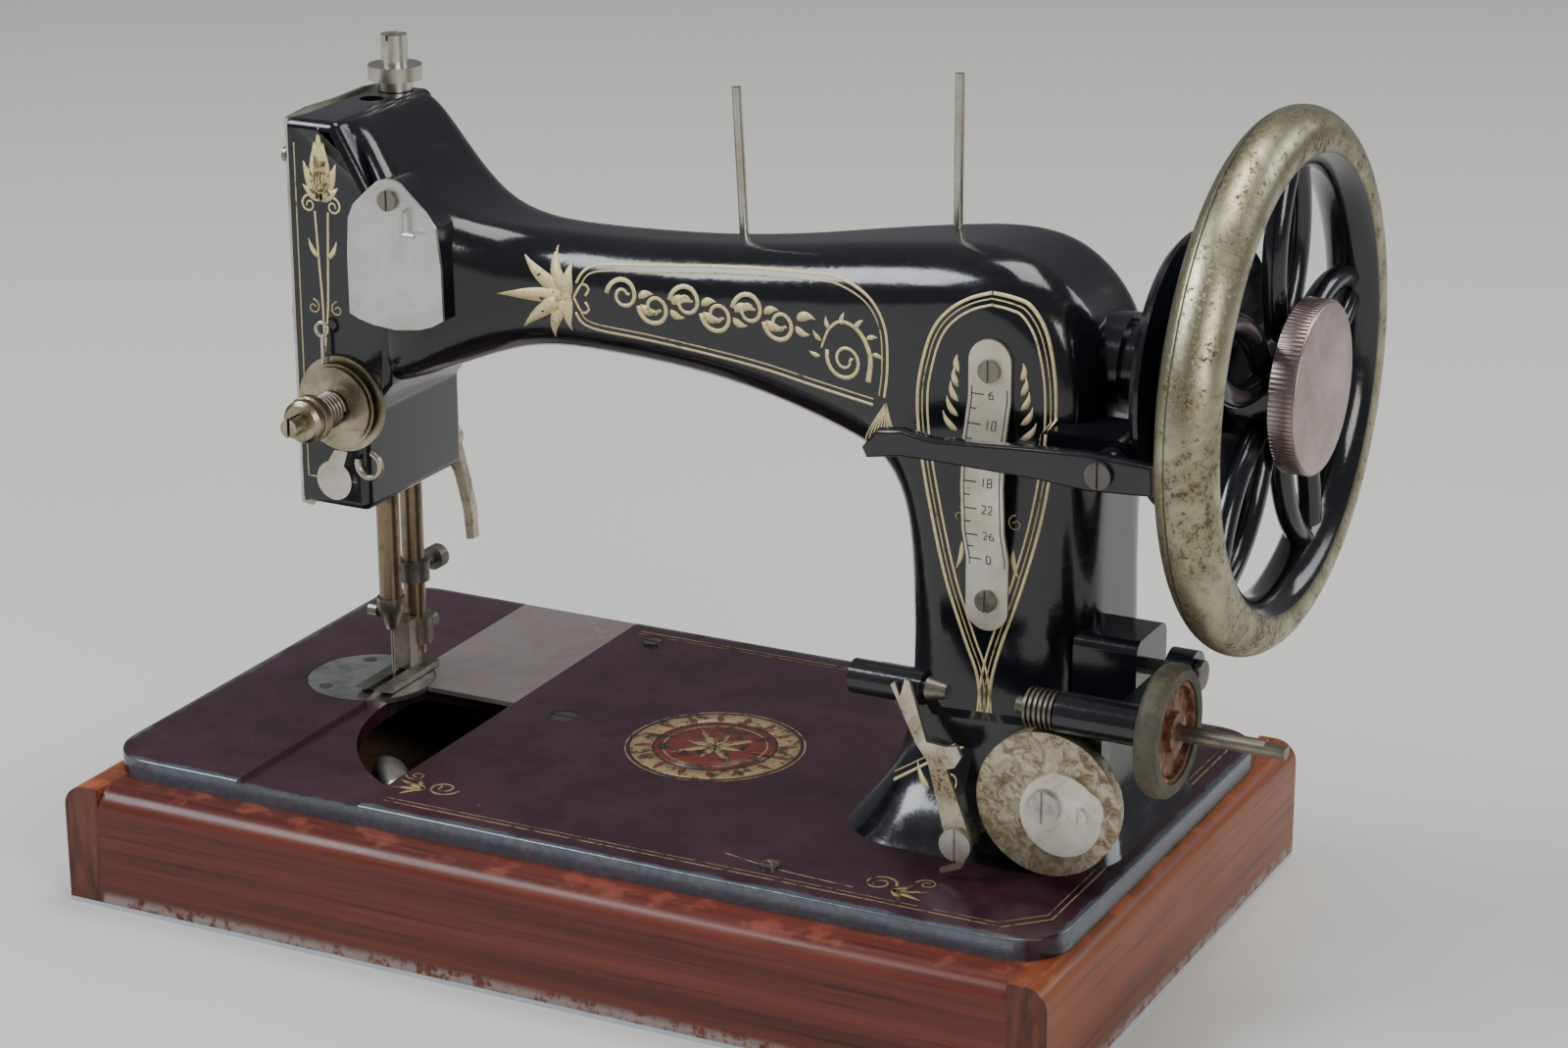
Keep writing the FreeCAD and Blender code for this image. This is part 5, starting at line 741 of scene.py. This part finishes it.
def scale_marks():
    """Tick marks and counts of stitches down the stitch scale."""
    marks = Ornament()
    low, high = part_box("stitch_scale")
    left, right = low.x / MM, high.x / MM
    for n in range(13):
        z = 134 + 4.2 * n
        marks.line([(left + 1.2, z), (left + (5.0 if n % 2 == 0 else 3.0), z)], 0.34)
        if n % 2 == 0:
            x = left + 6.6
            for digit in str(30 - 2 * n)[-2:]:
                if digit in DIGITS:
                    corners = [tuple(map(float, pair.split(","))) for pair in DIGITS[digit].split()]
                    placed = [(x + 0.62 * across, z - 1.2 + 0.62 * up) for across, up in corners]
                    marks.line(placed, 0.3, 0.6)
                    x += 2.0
    marks.curve([(left + 1.1, 132), (left + 1.1, 186.6)], 0.3)
    marks.curve([(right - 1.1, 132), (right - 1.1, 186.6)], 0.3)
    marks.make("stitch_scale_marks", FRONT, NODES["stitch_scale"], "ink", "frame", 60, 0.06, "nickel_plate")


scale_marks()
bed_ornament()


# ---------------------------------------------------------------- detailed pieces


def node_place(node):
    low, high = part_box(node)
    return low, high, (low + high) / 2


def make_worm_wheel():
    """Thin toothed wheel standing for the plain disc."""
    low, high, centre = node_place("worm_wheel")
    radius, thick = (high.x - low.x) / 2, high.y - low.y
    wheel = ridged_disc(radius, thick, 96, 0.8 * MM, centre, "y", 0.12 * MM)
    settle(wheel, "toothed_worm_wheel", "gear", "worm_gear")
    activate(wheel)
    bpy.ops.object.shade_smooth_by_angle(angle=math.radians(28))
    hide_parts("worm_wheel")


def make_knob():
    """Clutch knob: knurled band between two plain lips, domed a little on its outer face."""
    low, high, centre = node_place("clutch_knob")
    radius, thick = (high.z - low.z) / 2, high.x - low.x
    knob = ridged_disc(radius, thick - 1.6 * MM, 110, 0.35 * MM, centre, "x", 0.08 * MM)
    lips = (("clutch_knob_face", high.x - 1.4 * MM, 2.8 * MM),
            ("clutch_knob_back", low.x + 0.9 * MM, 1.2 * MM))
    for name, x, depth in lips:
        deselect()
        bpy.ops.mesh.primitive_cylinder_add(vertices=96, radius=radius - 0.5 * MM, depth=depth)
        face = bpy.context.active_object
        rim = face.modifiers.new("rim", "BEVEL")
        rim.width, rim.segments, rim.limit_method = 0.5 * MM, 3, "ANGLE"
        apply_all(face)
        face.rotation_euler = (0, math.pi / 2, 0)
        face.location = (x, centre.y, centre.z)
        settle(face, name, "knob_nickel", "clutch")
        bpy.ops.object.shade_smooth_by_angle(angle=math.radians(30))
    settle(knob, "clutch_knob_band", "knob_nickel", "clutch")
    bpy.ops.object.shade_smooth_by_angle(angle=math.radians(28))
    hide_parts("clutch_knob")


make_worm_wheel()
make_knob()

# ---------------------------------------------------------------- floor, light and camera


def stage_floor():
    deselect()
    bpy.ops.mesh.primitive_plane_add(size=8, location=(0, 0, 0))
    floor = bpy.context.active_object
    floor.name = "floor"
    look = Look("floor")
    look.set(colour=(0.62, 0.61, 0.59), rough=0.75)
    floor.data.materials.append(look.material)


def lamp(name, place, aim, size, power, colour=(1, 1, 1)):
    data = bpy.data.lights.new(name, "AREA")
    data.shape = "RECTANGLE"
    data.size, data.size_y = size
    data.energy = power
    data.color = colour
    item = bpy.data.objects.new(name, data)
    item.location = place
    item.rotation_euler = (Vector(aim) - Vector(place)).to_track_quat("-Z", "Y").to_euler()
    bpy.context.scene.collection.objects.link(item)


stage_floor()
HEART = (0.02, 0.0, 0.13)
lamp("window", (-1.2, -0.9, 1.5), HEART, (1.0, 0.8), 34, (0.92, 0.96, 1.0))
lamp("ceiling", (0.3, 0.3, 2.0), HEART, (1.2, 1.0), 26, (1.0, 0.98, 0.95))
lamp("fill", (1.8, -1.1, 1.0), HEART, (0.8, 1.0), 20, (1.0, 0.95, 0.90))
lamp("rear", (1.5, 1.5, 1.2), HEART, (1.2, 0.8), 12, (0.95, 0.97, 1.0))

world = bpy.data.worlds.new("room")
bpy.context.scene.world = world
world.use_nodes = True
world.node_tree.nodes["Background"].inputs[0].default_value = (0.80, 0.82, 0.85, 1)
world.node_tree.nodes["Background"].inputs[1].default_value = 0.24

camera = bpy.data.objects.new("camera", bpy.data.cameras.new("camera"))
bpy.context.scene.collection.objects.link(camera)
bpy.context.scene.camera = camera
camera.data.sensor_width = 36
camera.data.lens = 88.08
EYE = Vector((0.53905, -0.99572, 0.50927))
AIM = Vector((0.013288, 0.042361, 0.10926))
ROLL = Quaternion((0, 0, 1), math.radians(-0.217))
camera.location = EYE
camera.rotation_mode = "QUATERNION"
camera.rotation_quaternion = (AIM - EYE).to_track_quat("-Z", "Y") @ ROLL
